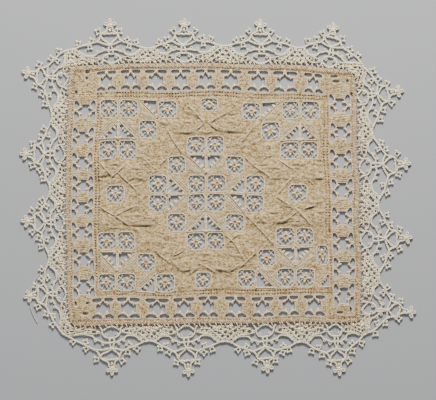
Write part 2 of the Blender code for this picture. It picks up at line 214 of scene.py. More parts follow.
# %% [markdown]
# ## The ladder border
# Between hem and field the threads are cut in a row of gaps, which leaves woven bars like the
# rungs of a ladder. Two bound arches bend across each end of a gap, and a small slit stays open
# behind each arch. Each opening could be cut on its own, but a gap and its slits meet below the
# arches. So they are one outline, a quarter of it mirrored along and across, and the arches are
# threads laid over it later.

# %% The border's gaps
TOP_GAPS = [
    (-72.3, 7.8), (-56.6, 8.8), (-40.2, 9.4), (-24.0, 8.6), (-8.0, 8.3),
    (8.6, 9.4), (26.0, 9.3), (43.8, 11.0), (61.9, 7.8),
]
BOTTOM_GAPS = [
    (-74.8, 9.5), (-58.0, 10.2), (-39.4, 11.4), (-22.1, 9.1), (-6.2, 8.5),
    (11.4, 8.9), (29.1, 9.6), (45.8, 8.8), (62.8, 8.9),
]
LEFT_GAPS = [
    (56.7, 8.5), (39.8, 8.0), (22.8, 8.7), (8.4, 8.3),
    (-6.7, 8.6), (-21.9, 7.8), (-39.8, 9.5), (-57.5, 10.4),
]
RIGHT_GAPS = [
    (60.5, 9.2), (42.7, 8.2), (24.3, 10.0), (5.2, 10.0),
    (-12.6, 9.1), (-29.4, 9.1), (-45.3, 9.0), (-63.2, 10.6),
]
END_SLIT = 2.4
SLIT_SHARE = 0.36
# One quarter of a gap: along it in half widths, plus slits, and across in shares of the ladder
LADDER_QUARTER = [
    (0.12, 0.00, 0.045), (0.55, 0.00, 0.025), (0.95, 0.60, 0.035), (1.00, 1.00, 0.09),
    (1.00, 1.00, 0.16), (0.98, 0.60, 0.225), (0.97, 0.10, 0.265), (0.97, 0.00, 0.33),
    (1.00, 0.00, 0.42),
]
ladder = []
for side, rows in (("top", TOP_GAPS), ("bottom", BOTTOM_GAPS),
                   ("left", LEFT_GAPS), ("right", RIGHT_GAPS)):
    rows = sorted(rows)
    for index, (along, width) in enumerate(rows):
        slits = []
        for step in (-1, 1):
            other = index + step
            block = END_SLIT / SLIT_SHARE
            if 0 <= other < len(rows):
                block = abs(rows[other][0] - along) - (rows[other][1] + width) / 2
            slits.append(min(END_SLIT, SLIT_SHARE * block))
        ladder.append({"side": side, "along": along, "half": width / 2, "slits": slits})


def ladder_place(gap, a, v):
    """A place in a gap: a runs along it in mm from its middle, v across the ladder from 0 to 1."""
    return on_side(gap["side"], gap["along"] + a, HEM_DEPTH + np.asarray(v) * LADDER_DEPTH)


def ladder_loop(gap):
    """The hole's outline: a quarter mirrored along and across, each side with its own slit."""
    share, slit, v = np.array(LADDER_QUARTER).T
    half = gap["half"]
    right = share * half + slit * gap["slits"][1]
    left = -(share * half + slit * gap["slits"][0])
    a = np.concatenate([right, right[::-1], left, left[::-1]])
    v = np.concatenate([v, (1 - v)[::-1], 1 - v, v[::-1]])
    return ladder_place(gap, a, v)


print(len(ladder), "gaps in the ladder border")

# %% [markdown]
# ## Piercing a sheet
# Cut linen ends at a line of stitches, and its weave runs on beside the hole. Booleans or filled
# outlines would give long thin triangles that shade badly. So the cloth is a lattice of points:
# those near a hole's line are moved onto it, cells inside the hole are dropped, and a cell that a
# line cuts off at one corner keeps its other half. It is all done on whole arrays, so a sheet of
# sixty thousand points takes a second or two.

# %% Distance to an outline
CHUNK = 4000


def to_loop(points, loop):
    """Distance to the nearest point of a closed line, that point, and whether it lies inside."""
    step = np.roll(loop, -1, axis=0) - loop
    rest = points[:, None, :] - loop[None, :, :]
    share = np.clip((rest * step).sum(2) / (step * step).sum(1), 0, 1)
    near = loop[None] + share[..., None] * step
    off = np.linalg.norm(points[:, None, :] - near, axis=2)
    best = off.argmin(axis=1)
    rows = np.arange(len(points))
    end = loop + step
    spans = (loop[:, 1] > points[:, 1, None]) != (end[:, 1] > points[:, 1, None])
    rise = np.where(step[:, 1] == 0, 1e-9, step[:, 1])
    at = loop[:, 0] + (points[:, 1, None] - loop[:, 1]) * step[:, 0] / rise
    inside = (spans & (points[:, 0, None] < at)).sum(axis=1) % 2 == 1
    return off[rows, best], near[rows, best], inside


def cut_distance(points, holes, edge, reach):
    """Distance into the cloth, below 0 in a hole or past the edge, and the nearest line's point."""
    distance = np.full(len(points), reach)
    nearest = points.copy()
    for loop, sign in [(hole, 1) for hole in holes] + [(edge, -1)]:
        low, high = loop.min(axis=0) - reach, loop.max(axis=0) + reach
        rows = np.flatnonzero(((points > low) & (points < high)).all(axis=1))
        if sign > 0 and not len(rows):
            continue
        rows = rows if sign > 0 else np.arange(len(points))
        for part in np.array_split(rows, max(1, len(rows) // CHUNK)):
            off, place, inside = to_loop(points[part], loop)
            signed = np.where(inside, -off, off) * sign
            closer = signed < distance[part]
            distance[part[closer]] = signed[closer]
            nearest[part[closer]] = place[closer]
    return distance, nearest


middle_depth = float(to_loop(np.zeros((1, 2)), outline)[0][0])
print("the cloth's middle lies", round(middle_depth, 1), "mm inside its outline")

# %% The cells that stay


def pierced_cells(grid_shape, points, distance, nearest, spacing):
    """Moves points near a line onto it and returns the kept quads and half cells."""
    snap = np.abs(distance) < 0.5 * spacing
    moved = np.where(snap[:, None], nearest, points)
    gone = distance <= -0.5 * spacing
    index = np.arange(len(points)).reshape(grid_shape)
    cells = np.stack([index[:-1, :-1], index[1:, :-1], index[1:, 1:], index[:-1, 1:]], axis=-1)
    cells = cells.reshape(-1, 4)
    lost = gone[cells].sum(axis=1)
    middle = distance[cells].mean(axis=1) > 0
    quads = cells[(lost == 0) & (middle | ~snap[cells].all(axis=1))]
    halves = cells[lost == 1]
    shift = gone[halves].argmax(axis=1)
    order = (shift[:, None] + np.array([1, 2, 3])) % 4
    tris = np.take_along_axis(halves, order, axis=1)
    tris = tris[distance[tris].mean(axis=1) > -0.1 * spacing]
    return moved, quads, tris


# %% [markdown]
# ## From arrays to meshes
# A cloth has an upper face, an under face and a cut edge all round each opening. Solidify could
# give a sheet its thickness, but here the under side lies flat on the table while the top rises
# and falls. So `shell` lays the same faces flat below, turned over, and closes every open edge
# with a wall. `foreach_set` then fills the mesh from the arrays at once, which is far quicker than
# adding faces one by one.

# %% A closed sheet
UNDER_SIDE = 0.05


def shell(top, quads, tris):
    """A closed sheet: the top, the same faces laid flat and reversed, and walls between."""
    count = len(top)
    under = np.column_stack([top[:, :2], np.full(count, UNDER_SIDE)])
    edges = np.concatenate([quads[:, [k, (k + 1) % 4]] for k in range(4)]
                           + [tris[:, [k, (k + 1) % 3]] for k in range(3)])
    there = edges[:, 0] * count + edges[:, 1]
    back = edges[:, 1] * count + edges[:, 0]
    rim = edges[~np.isin(there, back)]
    walls = np.stack([rim[:, 1], rim[:, 0], rim[:, 0] + count, rim[:, 1] + count], axis=1)
    all_quads = np.concatenate([quads, quads[:, ::-1] + count, walls])
    all_tris = np.concatenate([tris, tris[:, ::-1] + count])
    return np.concatenate([top, under]), all_quads, all_tris


# %% An object from arrays


def make_piece(name, points, quads, tris, material, numbers, uv=None):
    """Puts arrays, in millimetres, into a mesh object, without the points that no face uses."""
    used = np.unique(np.concatenate([quads.ravel(), tris.ravel()]))
    renumber = np.full(len(points), -1)
    renumber[used] = np.arange(len(used))
    points, quads, tris = points[used], renumber[quads], renumber[tris]
    mesh = bpy.data.meshes.new(name)
    corners = np.concatenate([quads.ravel(), tris.ravel()]).astype(np.int32)
    sizes = np.concatenate([np.full(len(quads), 4), np.full(len(tris), 3)]).astype(np.int32)
    starts = np.concatenate([[0], np.cumsum(sizes)[:-1]]).astype(np.int32)
    mesh.vertices.add(len(points))
    mesh.vertices.foreach_set("co", (points * MM).astype(np.float32).ravel())
    mesh.loops.add(len(corners))
    mesh.loops.foreach_set("vertex_index", corners)
    mesh.polygons.add(len(sizes))
    mesh.polygons.foreach_set("loop_start", starts)
    mesh.polygons.foreach_set("use_smooth", np.full(len(sizes), True))
    if uv is not None:
        layer = mesh.uv_layers.new(name="thread")
        layer.data.foreach_set("uv", uv.astype(np.float32).ravel())
    for key, values in numbers.items():
        kind, field = ("FLOAT_VECTOR", "vector") if values.ndim == 2 else ("FLOAT", "value")
        mesh.attributes.new(key, kind, "POINT")
        mesh.attributes[key].data.foreach_set(field, values[used].astype(np.float32).ravel())
    mesh.update(calc_edges=True)
    mesh.validate()
    mesh.materials.append(material)
    piece = bpy.data.objects.new(name, mesh)
    bpy.context.scene.collection.objects.link(piece)
    print(f"{name}: {len(points)} points, {2 * len(quads) + len(tris)} triangles")
    return piece


# %% [markdown]
# ## Threads
# Plaits, bound bars, picots and seed stitches are all thread laid along a path. Curves with a
# bevel would draw them too, but thousands of curves are slow, and their width is awkward to change
# on the way. One function here carries an oval profile along a path, so the same few lines give a
# rope, a tapered pin and a round bud. `Threads` joins them all in one mesh, with a UV map that
# runs along each thread, for its twist.

# %% A smooth path


def smooth_path(points, spacing, closed=False):
    """A Catmull-Rom curve through the points, read at even steps of its length."""
    points = np.asarray(points, float)
    if closed:
        ring = np.concatenate([points[-1:], points, points[:2]])
    else:
        ring = np.concatenate([2 * points[:1] - points[1:2], points, 2 * points[-1:] - points[-2:-1]])
    p0, p1, p2, p3 = ring[:-3, None], ring[1:-2, None], ring[2:-1, None], ring[3:, None]
    t = np.linspace(0, 1, 9)[None, :-1, None]
    curve = 0.5 * (2 * p1 + (p2 - p0) * t + (2 * p0 - 5 * p1 + 4 * p2 - p3) * t ** 2
                   + (3 * p1 - p0 - 3 * p2 + p3) * t ** 3)
    curve = np.concatenate([curve.reshape(-1, points.shape[1]), ring[-2:-1]])
    length = np.concatenate([[0], np.cumsum(np.linalg.norm(np.diff(curve, axis=0), axis=1))])
    count = max(3, round(length[-1] / spacing))
    read = np.linspace(0, length[-1], count + 1)
    path = np.stack([np.interp(read, length, curve[:, k]) for k in range(points.shape[1])], axis=1)
    return path[:-1] if closed else path


print("round the outline:", len(smooth_path(outline, 5.0, closed=True)), "steps of 5 mm")

# %% Threads


class Threads:
    """The threads of one piece, joined in one mesh with a UV map that runs along each."""

    def __init__(self):
        self.points, self.quads, self.tris = [], [], []
        self.quad_uv, self.tri_uv, self.tone = [], [], []
        self.count = 0

    def lay(self, path, wide, high, sides=6, closed=False, tone=0.0):
        """An oval profile carried along a path: cosine across it, sine upwards, ends closed."""
        path = np.asarray(path, float)
        n = len(path)
        step = np.roll(path, -1, axis=0) - np.roll(path, 1, axis=0)
        if not closed:
            step[0], step[-1] = path[1] - path[0], path[-1] - path[-2]
        across = np.stack([-step[:, 1], step[:, 0], np.zeros(n)], axis=1)
        across /= np.maximum(np.linalg.norm(across, axis=1, keepdims=True), 1e-9)
        angle = TAU * np.arange(sides) / sides
        wide = np.broadcast_to(np.asarray(wide, float), n)[:, None, None] / 2
        high = np.broadcast_to(np.asarray(high, float), n)[:, None, None] / 2
        path = np.column_stack([path[:, :2], np.maximum(path[:, 2], high[:, 0, 0] + 0.02)])
        rings = path[:, None] + across[:, None] * np.cos(angle)[None, :, None] * wide
        rings = rings + np.array([0, 0, 1]) * np.sin(angle)[None, :, None] * high
        length = np.concatenate([[0], np.cumsum(np.linalg.norm(np.diff(path, axis=0), axis=1))])
        rows = n if closed else n - 1
        i, j = np.meshgrid(np.arange(rows), np.arange(sides), indexing="ij")
        i, j = i.ravel(), j.ravel()
        i2, j2 = (i + 1) % n, (j + 1) % sides
        quads = np.stack([i * sides + j, i * sides + j2, i2 * sides + j2, i2 * sides + j], axis=1)
        last = length[i] + (length[1] if closed else 0)
        after = np.where(i + 1 < n, length[np.minimum(i + 1, n - 1)], last)
        u, u2 = j / sides, (j + 1) / sides
        uv = np.stack([np.stack([u, length[i]], 1), np.stack([u2, length[i]], 1),
                       np.stack([u2, after], 1), np.stack([u, after], 1)], axis=1)
        points = rings.reshape(-1, 3)
        if not closed:
            poles = np.stack([path[0], path[-1]])
            points = np.concatenate([points, poles])
            first, end = n * sides, n * sides + 1
            k = np.arange(sides)
            k2 = (k + 1) % sides
            start_fan = np.stack([np.full(sides, first), k2, k], axis=1)
            end_fan = np.stack([np.full(sides, end), (n - 1) * sides + k, (n - 1) * sides + k2], 1)
            self.tris.append(np.concatenate([start_fan, end_fan]) + self.count)
            self.tri_uv.append(np.zeros((2 * sides, 3, 2)))
        self.points.append(points)
        self.quads.append(quads + self.count)
        self.quad_uv.append(uv)
        self.tone.append(np.full(len(points), float(tone)))
        self.count += len(points)

    def pin(self, start, end, wide, high, tone=0.0, tip=0.75):
        """A small stub from start to end: a quick swell, then a taper to a round tip."""
        t = np.array([0.0, 0.3, 0.6, 0.85, 1.0])[:, None]
        profile = np.array([0.85, 1.0, 0.5 + 0.5 * tip, tip, 0.4 * tip])
        path = np.asarray(start) * (1 - t) + np.asarray(end) * t
        self.lay(path, wide * profile, high * profile, tone=tone)

    def bud(self, centre, way, length, wide, high, tone=0.0, sides=7):
        """A seed: an oval that follows the square root of 1 - t squared along its length."""
        t = np.array([-0.97, -0.75, -0.35, 0.0, 0.35, 0.75, 0.97])
        way = np.array([*way, 0.0]) / np.hypot(*way)
        path = np.asarray(centre) + t[:, None] * way * length / 2
        round_off = np.sqrt(1 - t ** 2)
        self.lay(path, wide * round_off, high * round_off, sides, tone=tone)

    def ring(self, centre, way, length, wide, thread, tone=0.0, count=10, sides=5):
        """A loop of thread: an oval path in the plane, long along its way."""
        angle = TAU * np.arange(count) / count
        way = np.array(way, float) / np.hypot(*way)
        side = np.array([-way[1], way[0]])
        flat = np.outer(np.cos(angle) * length / 2, way) + np.outer(np.sin(angle) * wide / 2, side)
        path = np.concatenate([flat, np.zeros((count, 1))], axis=1) + np.asarray(centre)
        self.lay(path, thread, thread, sides, closed=True, tone=tone)

    def piece(self, name, material, moved=None):
        """Joins all that was laid in one mesh."""
        points = np.concatenate(self.points)
        if moved is not None:
            points[:, :2] = moved(points[:, :2])
        uv = [np.concatenate(part).reshape(-1, 2) for part in (self.quad_uv, self.tri_uv)]
        return make_piece(name, points, np.concatenate(self.quads), np.concatenate(self.tris),
                          material, {"tone": np.concatenate(self.tone)}, np.concatenate(uv))


# %% [markdown]
# ## Shader maths
# A finish is a sum of small patterns: weave, slubs, specks and folds. Its nodes could be placed
# and linked one line at a time, but then the sum is hard to read. So `Value` wraps a socket, and
# each operator on it adds one Math node, which lets a pattern be written as an expression.
# `Shader.node` makes any other node from its type, its settings and what goes into its sockets.

# %% Numbers as expressions


class Value:
    """A number that varies over a surface, with Python's operators as Math nodes."""

    def __init__(self, shader, socket):
        self.shader, self.socket = shader, socket

    def math(self, operation, *others):
        """Adds one Math node, with this value in its first socket."""
        return self.shader.node("ShaderNodeMath", {"operation": operation}, self, *others)

    def __add__(self, other):
        return self.math("ADD", other)

    __radd__ = __add__

    def __sub__(self, other):
        return self.math("SUBTRACT", other)

    def __rsub__(self, other):
        return self.shader.node("ShaderNodeMath", {"operation": "SUBTRACT"}, other, self)

    def __mul__(self, other):
        return self.math("MULTIPLY", other)

    __rmul__ = __mul__

    def __truediv__(self, other):
        return self.math("DIVIDE", other)

    def clamped(self):
        """Kept between 0 and 1."""
        return self.math("MAXIMUM", 0.0).math("MINIMUM", 1.0)

    def step(self, start, end):
        """0 up to start, 1 from end on, and a smooth rise between, or a fall if end is lower."""
        low, high = (0.0, 1.0) if start < end else (1.0, 0.0)
        return self.shader.node(
            "ShaderNodeMapRange", {"interpolation_type": "SMOOTHSTEP"},
            self, min(start, end), max(start, end), low, high)


# %% Nodes of a material
THREAD_SHEEN = 0.15
THREAD_SPECULAR = 0.25


class Shader:
    """A material's nodes."""

    def __init__(self, name):
        self.material = bpy.data.materials.new(name)
        self.material.use_nodes = True
        self.tree = self.material.node_tree
        self.surface = self.tree.nodes["Principled BSDF"]

    def feed(self, socket, value):
        """Gives a socket what it takes: a link, a colour or a number."""
        if isinstance(value, Value):
            self.tree.links.new(value.socket, socket)
        elif isinstance(value, (tuple, list)) and len(value) == 3 and socket.type == "RGBA":
            socket.default_value = (*value, 1.0)
        else:
            socket.default_value = value

    def node(self, kind, settings=None, *values, out=0, at=(), **named):
        """Adds a node: its settings first, then what its sockets take, in order, by place or name."""
        made = self.tree.nodes.new(kind)
        for key, value in (settings or {}).items():
            setattr(made, key, value)
        for socket, value in zip(made.inputs, values):
            self.feed(socket, value)
        for key, value in (*at, *named.items()):
            self.feed(made.inputs[key], value)
        return Value(self, made.outputs[out])

    def number(self, name):
        """A point attribute of the piece."""
        return self.node("ShaderNodeAttribute", {"attribute_name": name}, out=2)

    def vector(self, name):
        """A point attribute with three parts."""
        return self.node("ShaderNodeAttribute", {"attribute_name": name}, out=1)

    def place(self):
        """Where a point lies on the object, in metres."""
        return self.node("ShaderNodeTexCoord", out=3)

    def noise(self, place, scale, detail=3.0, rough=0.55):
        """Cloudy noise from 0 to 1, with scale as the number of its waves in a metre."""
        return self.node("ShaderNodeTexNoise", None, Vector=place, Scale=scale, Detail=detail,
                         Roughness=rough)

    def mix(self, first, second, share):
        """A colour between two."""
        return self.node("ShaderNodeMix", {"data_type": "RGBA"}, out=2,
                         at=((0, share), (6, first), (7, second)))

    def layered(self, colour, layers):
        """A colour with others laid over it in turn, each by its own share."""
        for shade, share in layers:
            colour = self.mix(colour, shade, share)
        return colour

    def parts(self, vector):
        """The three parts of a vector, as numbers."""
        made = self.node("ShaderNodeSeparateXYZ", None, vector).socket.node
        return [Value(self, part) for part in made.outputs]

    def finish(self, colour, roughness, height, depth):
        """Feeds the surface: colour, roughness and a bump of that height, depth metres deep."""
        bump = self.node("ShaderNodeBump", None, Strength=1.0, Distance=depth, Height=height)
        self.feed(self.surface.inputs["Base Color"], colour)
        self.feed(self.surface.inputs["Roughness"], roughness)
        self.feed(self.surface.inputs["Normal"], bump)
        self.surface.inputs["Sheen Weight"].default_value = THREAD_SHEEN
        self.surface.inputs["Specular IOR Level"].default_value = THREAD_SPECULAR
        return self.material


# %% Waves and colours


def ripple(along, pitch, phase=None):
    """A sine wave with a crest at every pitch, pushed to and fro by its phase."""
    turned = along * (TAU / pitch)
    return (turned if phase is None else turned + phase).math("SINE")


def tint(red, green, blue):
    """A colour given in screen values from 0 to 255, as the linear numbers a shader takes."""
    value = np.array([red, green, blue]) / 255
    linear = np.where(value <= 0.04045, value / 12.92, ((value + 0.055) / 1.055) ** 2.4)
    return tuple(float(v) for v in linear)


print("tea-coloured linen as linear numbers:", [round(v, 3) for v in tint(216, 180, 118)])

# %% [markdown]
# ## The linen's finish
# The cloth has gone the colour of tea, and it is cloudy. Shade is painted into its creases and
# hollows, and a highlight is painted on its crests. Its weave is plain, two threads to a millimetre,
# and two rows of four-sided stitch draw the threads into pinholes all round the field. Cutting those
# would take millions of faces, and they are only a fifth of a millimetre deep, so they are bump and
# dark dots of painted shade. The mesh carries each point's depth from all four edges, so the rows
# follow those bent lines. The colours are laid over each other in turn: clouds, hem, wings, bars,
# specks, slubs, bound edges, the relief's painted shade and highlight, the creases' painted shade,
# weave and painted shade in the pinholes.

# %% Rows of pinholes
PINHOLE_PITCH = 1.8
PINHOLE_SIZE = 0.5
# Depths inside the linen's edge, in mm: the rows, and where the bands start and end
PINHOLE_ROWS = (19.3, 21.5)
HEM_STITCHES = (2.9,)
LADDER_BAND = (4.2, 17.8)
STITCH_BAND = (18.0, 22.8)
BAND_SOFT = 0.4


def dots_along(along, depth, rows, side_a, side_b):
    """Dots a pitch apart in rows at set depths, kept off the corners."""
    beat = along.math("MODULO", PINHOLE_PITCH).math("ABSOLUTE") - PINHOLE_PITCH / 2
    dots = None
    for row in rows:
        off = depth - row
        dot = (beat * beat + off * off).math("SQRT").step(PINHOLE_SIZE * 1.5, PINHOLE_SIZE * 0.5)
        dots = dot if dots is None else dots + dot
    start = min(rows) - 1.5
    return dots * side_a.step(start, start + 1.0) * side_b.step(start, start + 1.0)


def dots_round(x, y, sides, rows):
    """The same rows along all four sides."""
    top, right, bottom, left = sides
    dots = dots_along(x, top, rows, left, right) + dots_along(x, bottom, rows, left, right)
    dots = dots + dots_along(y, left, rows, top, bottom) + dots_along(y, right, rows, top, bottom)
    return dots.math("MINIMUM", 1.0)


def band(depth, start, end):
    """1 between two depths, with soft edges."""
    opens = depth.step(start - BAND_SOFT, start + BAND_SOFT)
    return opens * depth.step(end + BAND_SOFT, end - BAND_SOFT)


print(len(PINHOLE_ROWS), "rows of pinholes,", PINHOLE_PITCH, "mm apart")

# %% Linen material
WEAVE_PITCH = 0.52
BUNDLE_PITCH = 1.35
HEM_PITCH = 1.5
GRAIN_PITCH = 1.9


def linen_material():
    """Woven linen with a stitched hem, two rows of pinholes painted dark as shade, and painted shade
    in creases and hollows.
    """
    s = Shader("woven_linen")
    place = s.place()
    x, y, _ = s.parts(place)
    x, y = x * (1 / MM), y * (1 / MM)
    top, right, bottom, left = sides = [*s.parts(s.vector("depths")), s.number("left")]
    nearest = top.math("MINIMUM", right).math("MINIMUM", bottom).math("MINIMUM", left)
    hem = nearest.step(HEM_DEPTH + 0.2, HEM_DEPTH - 0.7)
    stitched, laddered = band(nearest, *STITCH_BAND), band(nearest, *LADDER_BAND)
    # places of the pinholes, which the finish paints dark as shade
    holes = dots_round(x, y, sides, PINHOLE_ROWS)
    holes = holes * (s.noise(place, 90.0, detail=1.0).step(0.38, 0.6) * 0.6 + 0.4)
    stitches = dots_round(x, y, sides, HEM_STITCHES)

    weave = ripple(x, WEAVE_PITCH) * ripple(y, WEAVE_PITCH)
    hem_thread = ripple(x + y, HEM_PITCH, s.noise(place, 200.0) * 6.0) * hem
    # the ladder's bars are bundles of threads, which run from the hem to the field
    beside = (left.math("MINIMUM", right) - top.math("MINIMUM", bottom)).step(0.3, -0.3)
    across = x * (1.0 - beside) + y * beside + s.noise(place, 300.0, detail=1.0) * 3.0
    bundle = ripple(across, BUNDLE_PITCH) * laddered
    threads = bundle + hem_thread
    cloud = s.noise(place, 70.0)
    drawn = s.node("ShaderNodeVectorMath", {"operation": "MULTIPLY"}, place, (0.7, 1.2, 1.0))
    speck = s.noise(drawn, 640.0, detail=4.0, rough=0.7)
    slub = s.noise(place, 1000.0, detail=2.0, rough=0.6)
    hollow_shading, wing, bound, crease_shade = (s.number(key) for key in ("hollow_shading", "wing", "bound", "crease_shade"))
    grain = ripple(x * s.number("slant") + y, GRAIN_PITCH, s.noise(place, 240.0) * 9.0)
    broken = s.noise(place, 230.0, detail=1.0).step(0.36, 0.6) * 0.5 + 0.2
    # soft level wrinkles: a noise that is stretched along x
    stretched = s.node("ShaderNodeVectorMath", {"operation": "MULTIPLY"}, place, (1.0, 2.4, 1.0))
    wrinkle = s.noise(stretched, 95.0, detail=3.0, rough=0.55)

    colour = s.layered(tint(216, 180, 118), [
        (tint(198, 161, 101), cloud.step(0.36, 0.66)),
        (tint(206, 158, 104), (hem + stitched * 0.3).math("MINIMUM", 1.0) * 0.8),
        (tint(228, 204, 154), wing * 0.7),
        (tint(134, 104, 64), wing * grain.step(0.1, -0.9) * 0.5),
        (tint(228, 196, 140), laddered * 0.2),
        (tint(238, 208, 156), threads.step(0.1, 0.9) * 0.4),
        (tint(126, 90, 52), threads.step(-0.2, -0.95) * (0.5 + hem * 0.25)),
        (tint(252, 226, 176), speck.step(0.51, 0.57) * 0.85),
        (tint(98, 78, 54), speck.step(0.47, 0.4) * 0.6),
        (tint(86, 68, 48), slub.step(0.46, 0.36) * 0.7),
        (tint(254, 232, 184), slub.step(0.54, 0.63) * 0.85),
        (tint(236, 218, 174), wing * 0.35),
        (tint(244, 224, 182), bound * (0.15 + laddered * 0.3)),
        # painted shade in hollows of the relief, and a painted highlight on its crests
        (tint(104, 74, 40), hollow_shading.step(0.3, 1.4) * 0.55),
        (tint(240, 222, 186), hollow_shading.step(-0.3, -1.2) * 0.4),
        # painted shade along the creases and beside the ribs, broken into dashes
        (tint(80, 60, 38), crease_shade * broken),
        (tint(136, 110, 76), (0.5 - weave * 0.5) * slub.step(0.4, 0.6) * 0.35),
        # dark dots of painted shade in the pinholes and at the hem stitches
        (tint(48, 32, 18), (holes * 0.95 + stitches * 0.5).math("MINIMUM", 1.0)),
    ])
    height = weave * 0.2 + slub * 0.5 + speck * 1.2 - holes * 1.2 + hem_thread * 0.4 + bundle * 0.25
    height = height + wing * grain * 0.35 + wrinkle * s.number("plain") * 2.4 - stitches * 0.7
    return s.finish(colour, 0.9, height, 0.0008)


linen_finish = linen_material()
print("linen finish:", len(linen_finish.node_tree.nodes), "nodes")

# %% [markdown]
# ## The thread's finish
# Bound bars, plaits and picots are spun thread in three shades: ivory for the lace, cream for the
# needle-made bars and tan for the stars' hearts. Each shade could have a material of its own, but
# thread also changes shade from one stitch to the next. So one finish reads a `tone` on each
# thread, which says how tan it is, and a slanted wave on the UV map along the thread is its twist.

# %% Thread material


def thread_material(name, pale, tan, pitch, twist):
    """Twisted thread: pale where the tone is 0, tan where it is 1, with plies across its path."""
    s = Shader(name)
    place = s.place()
    u, v, _ = s.parts(s.node("ShaderNodeUVMap", {"uv_map": "thread"}))
    ply = ripple(u * float(twist) + v / pitch, 1.0)
    cloud = s.noise(place, 160.0)
    speck = s.noise(place, 900.0, detail=4.0, rough=0.65)
    tone = s.number("tone")
    colour = s.layered(pale, [
        (tan, (tone + (cloud - 0.5) * 0.7).clamped()),
        (tint(254, 248, 230), speck.step(0.51, 0.62) * 0.8),
        (tint(116, 88, 54), speck.step(0.46, 0.34) * 0.6),
        (tint(126, 96, 58), ply.step(-0.2, -1.0) * 0.5),
    ])
    height = ply * 0.6 + speck * 0.5
    return s.finish(colour, 0.85, height, 0.0002)


needle_thread = thread_material("needle_thread", tint(246, 228, 188), tint(198, 154, 98), 0.8, 1)
lace_thread = thread_material("ivory_thread", tint(245, 235, 206), tint(220, 186, 128), 1.3, 2)
print("thread finishes:", needle_thread.name, lace_thread.name)

# %% [markdown]
# ## The cloth's relief
# Ribs of stitching draw this cloth up, so it stands in soft puffs between them and folds over itself
# in short creases. A cloth simulation would wrinkle it too, but not at these places. So the relief is
# one height for every point, the sum of simple ridges, and each falls off as a bell curve on both
# sides of its line. Creases are narrow troughs below a lip, and a trough runs along the side of each
# rib away from the lamp. Their depth is also kept for the finish, which paints shade into them.

# %% Ribs, puffs and creases
RIBS = [
    (-19.5, 59.0, -9.4, 48.8), (7.8, 57.0, -6.0, 48.6), (-14.3, 44.7, -9.4, 48.8),
    (-6.0, 48.6, 0.0, 44.0), (-32.8, 44.4, -22.3, 28.4), (-47.6, 26.0, -39.7, 18.0),
    (-38.2, 21.5, -32.8, 27.0), (-41.6, 17.0, -48.2, 11.1), (-66.5, 17.5, -58.6, 9.1),
    (-58.6, 9.1, -54.1, 4.6), (-77.0, 23.5, -69.5, 14.5), (-69.5, 13.5, -61.5, 21.0),
    (-76.5, -6.3, -66.5, -11.7), (-66.5, -11.7, -57.3, -18.2), (-64.9, -10.6, -55.2, -5.7),
    (-39.6, -35.3, -32.5, -41.3), (-29.3, -37.0, -21.8, -33.3), (-12.6, -43.0, -1.9, -48.6),
    (18.2, -10.6, 25.7, -18.2), (25.7, -18.2, 36.1, -29.8), (5.4, -24.5, 10.6, -29.2),
    (10.6, -29.2, 16.4, -39.1), (7.2, -28.7, 12.4, -24.0), (14.6, -44.3, 24.5, -34.4),
    (17.9, 27.1, 26.0, 18.9), (26.0, 18.9, 34.5, 11.9), (14.8, 36.2, 23.4, 47.0),
    (40.0, 24.3, 48.1, 18.4), (48.1, 13.0, 38.4, 3.3), (37.9, 0.6, 48.8, -7.4),
    (56.2, -7.4, 62.7, -5.3), (49.4, -6.6, 61.7, -18.2), (43.1, -15.3, 51.8, -8.9),
    (57.9, 11.9, 61.1, 8.7),
]
# Puffs of cloth between the ribs: their middle and half of their width and height
PUFFS = [
    (-53.3, 17.7, 11.5, 7.4), (-75.5, 18.6, 6.0, 5.0), (-50.5, -13.8, 12.0, 5.2),
    (-73.0, -15.5, 7.0, 6.0), (36.2, 18.4, 11.3, 7.0), (62.6, 16.2, 7.2, 4.6),
    (35.0, -12.4, 10.6, 5.0), (64.6, -12.0, 7.0, 5.2), (-22.6, 46.8, 10.2, 4.8),
    (7.2, 47.0, 11.0, 4.6), (-22.2, -43.6, 9.8, 4.6), (4.6, -43.4, 11.2, 5.0),
]
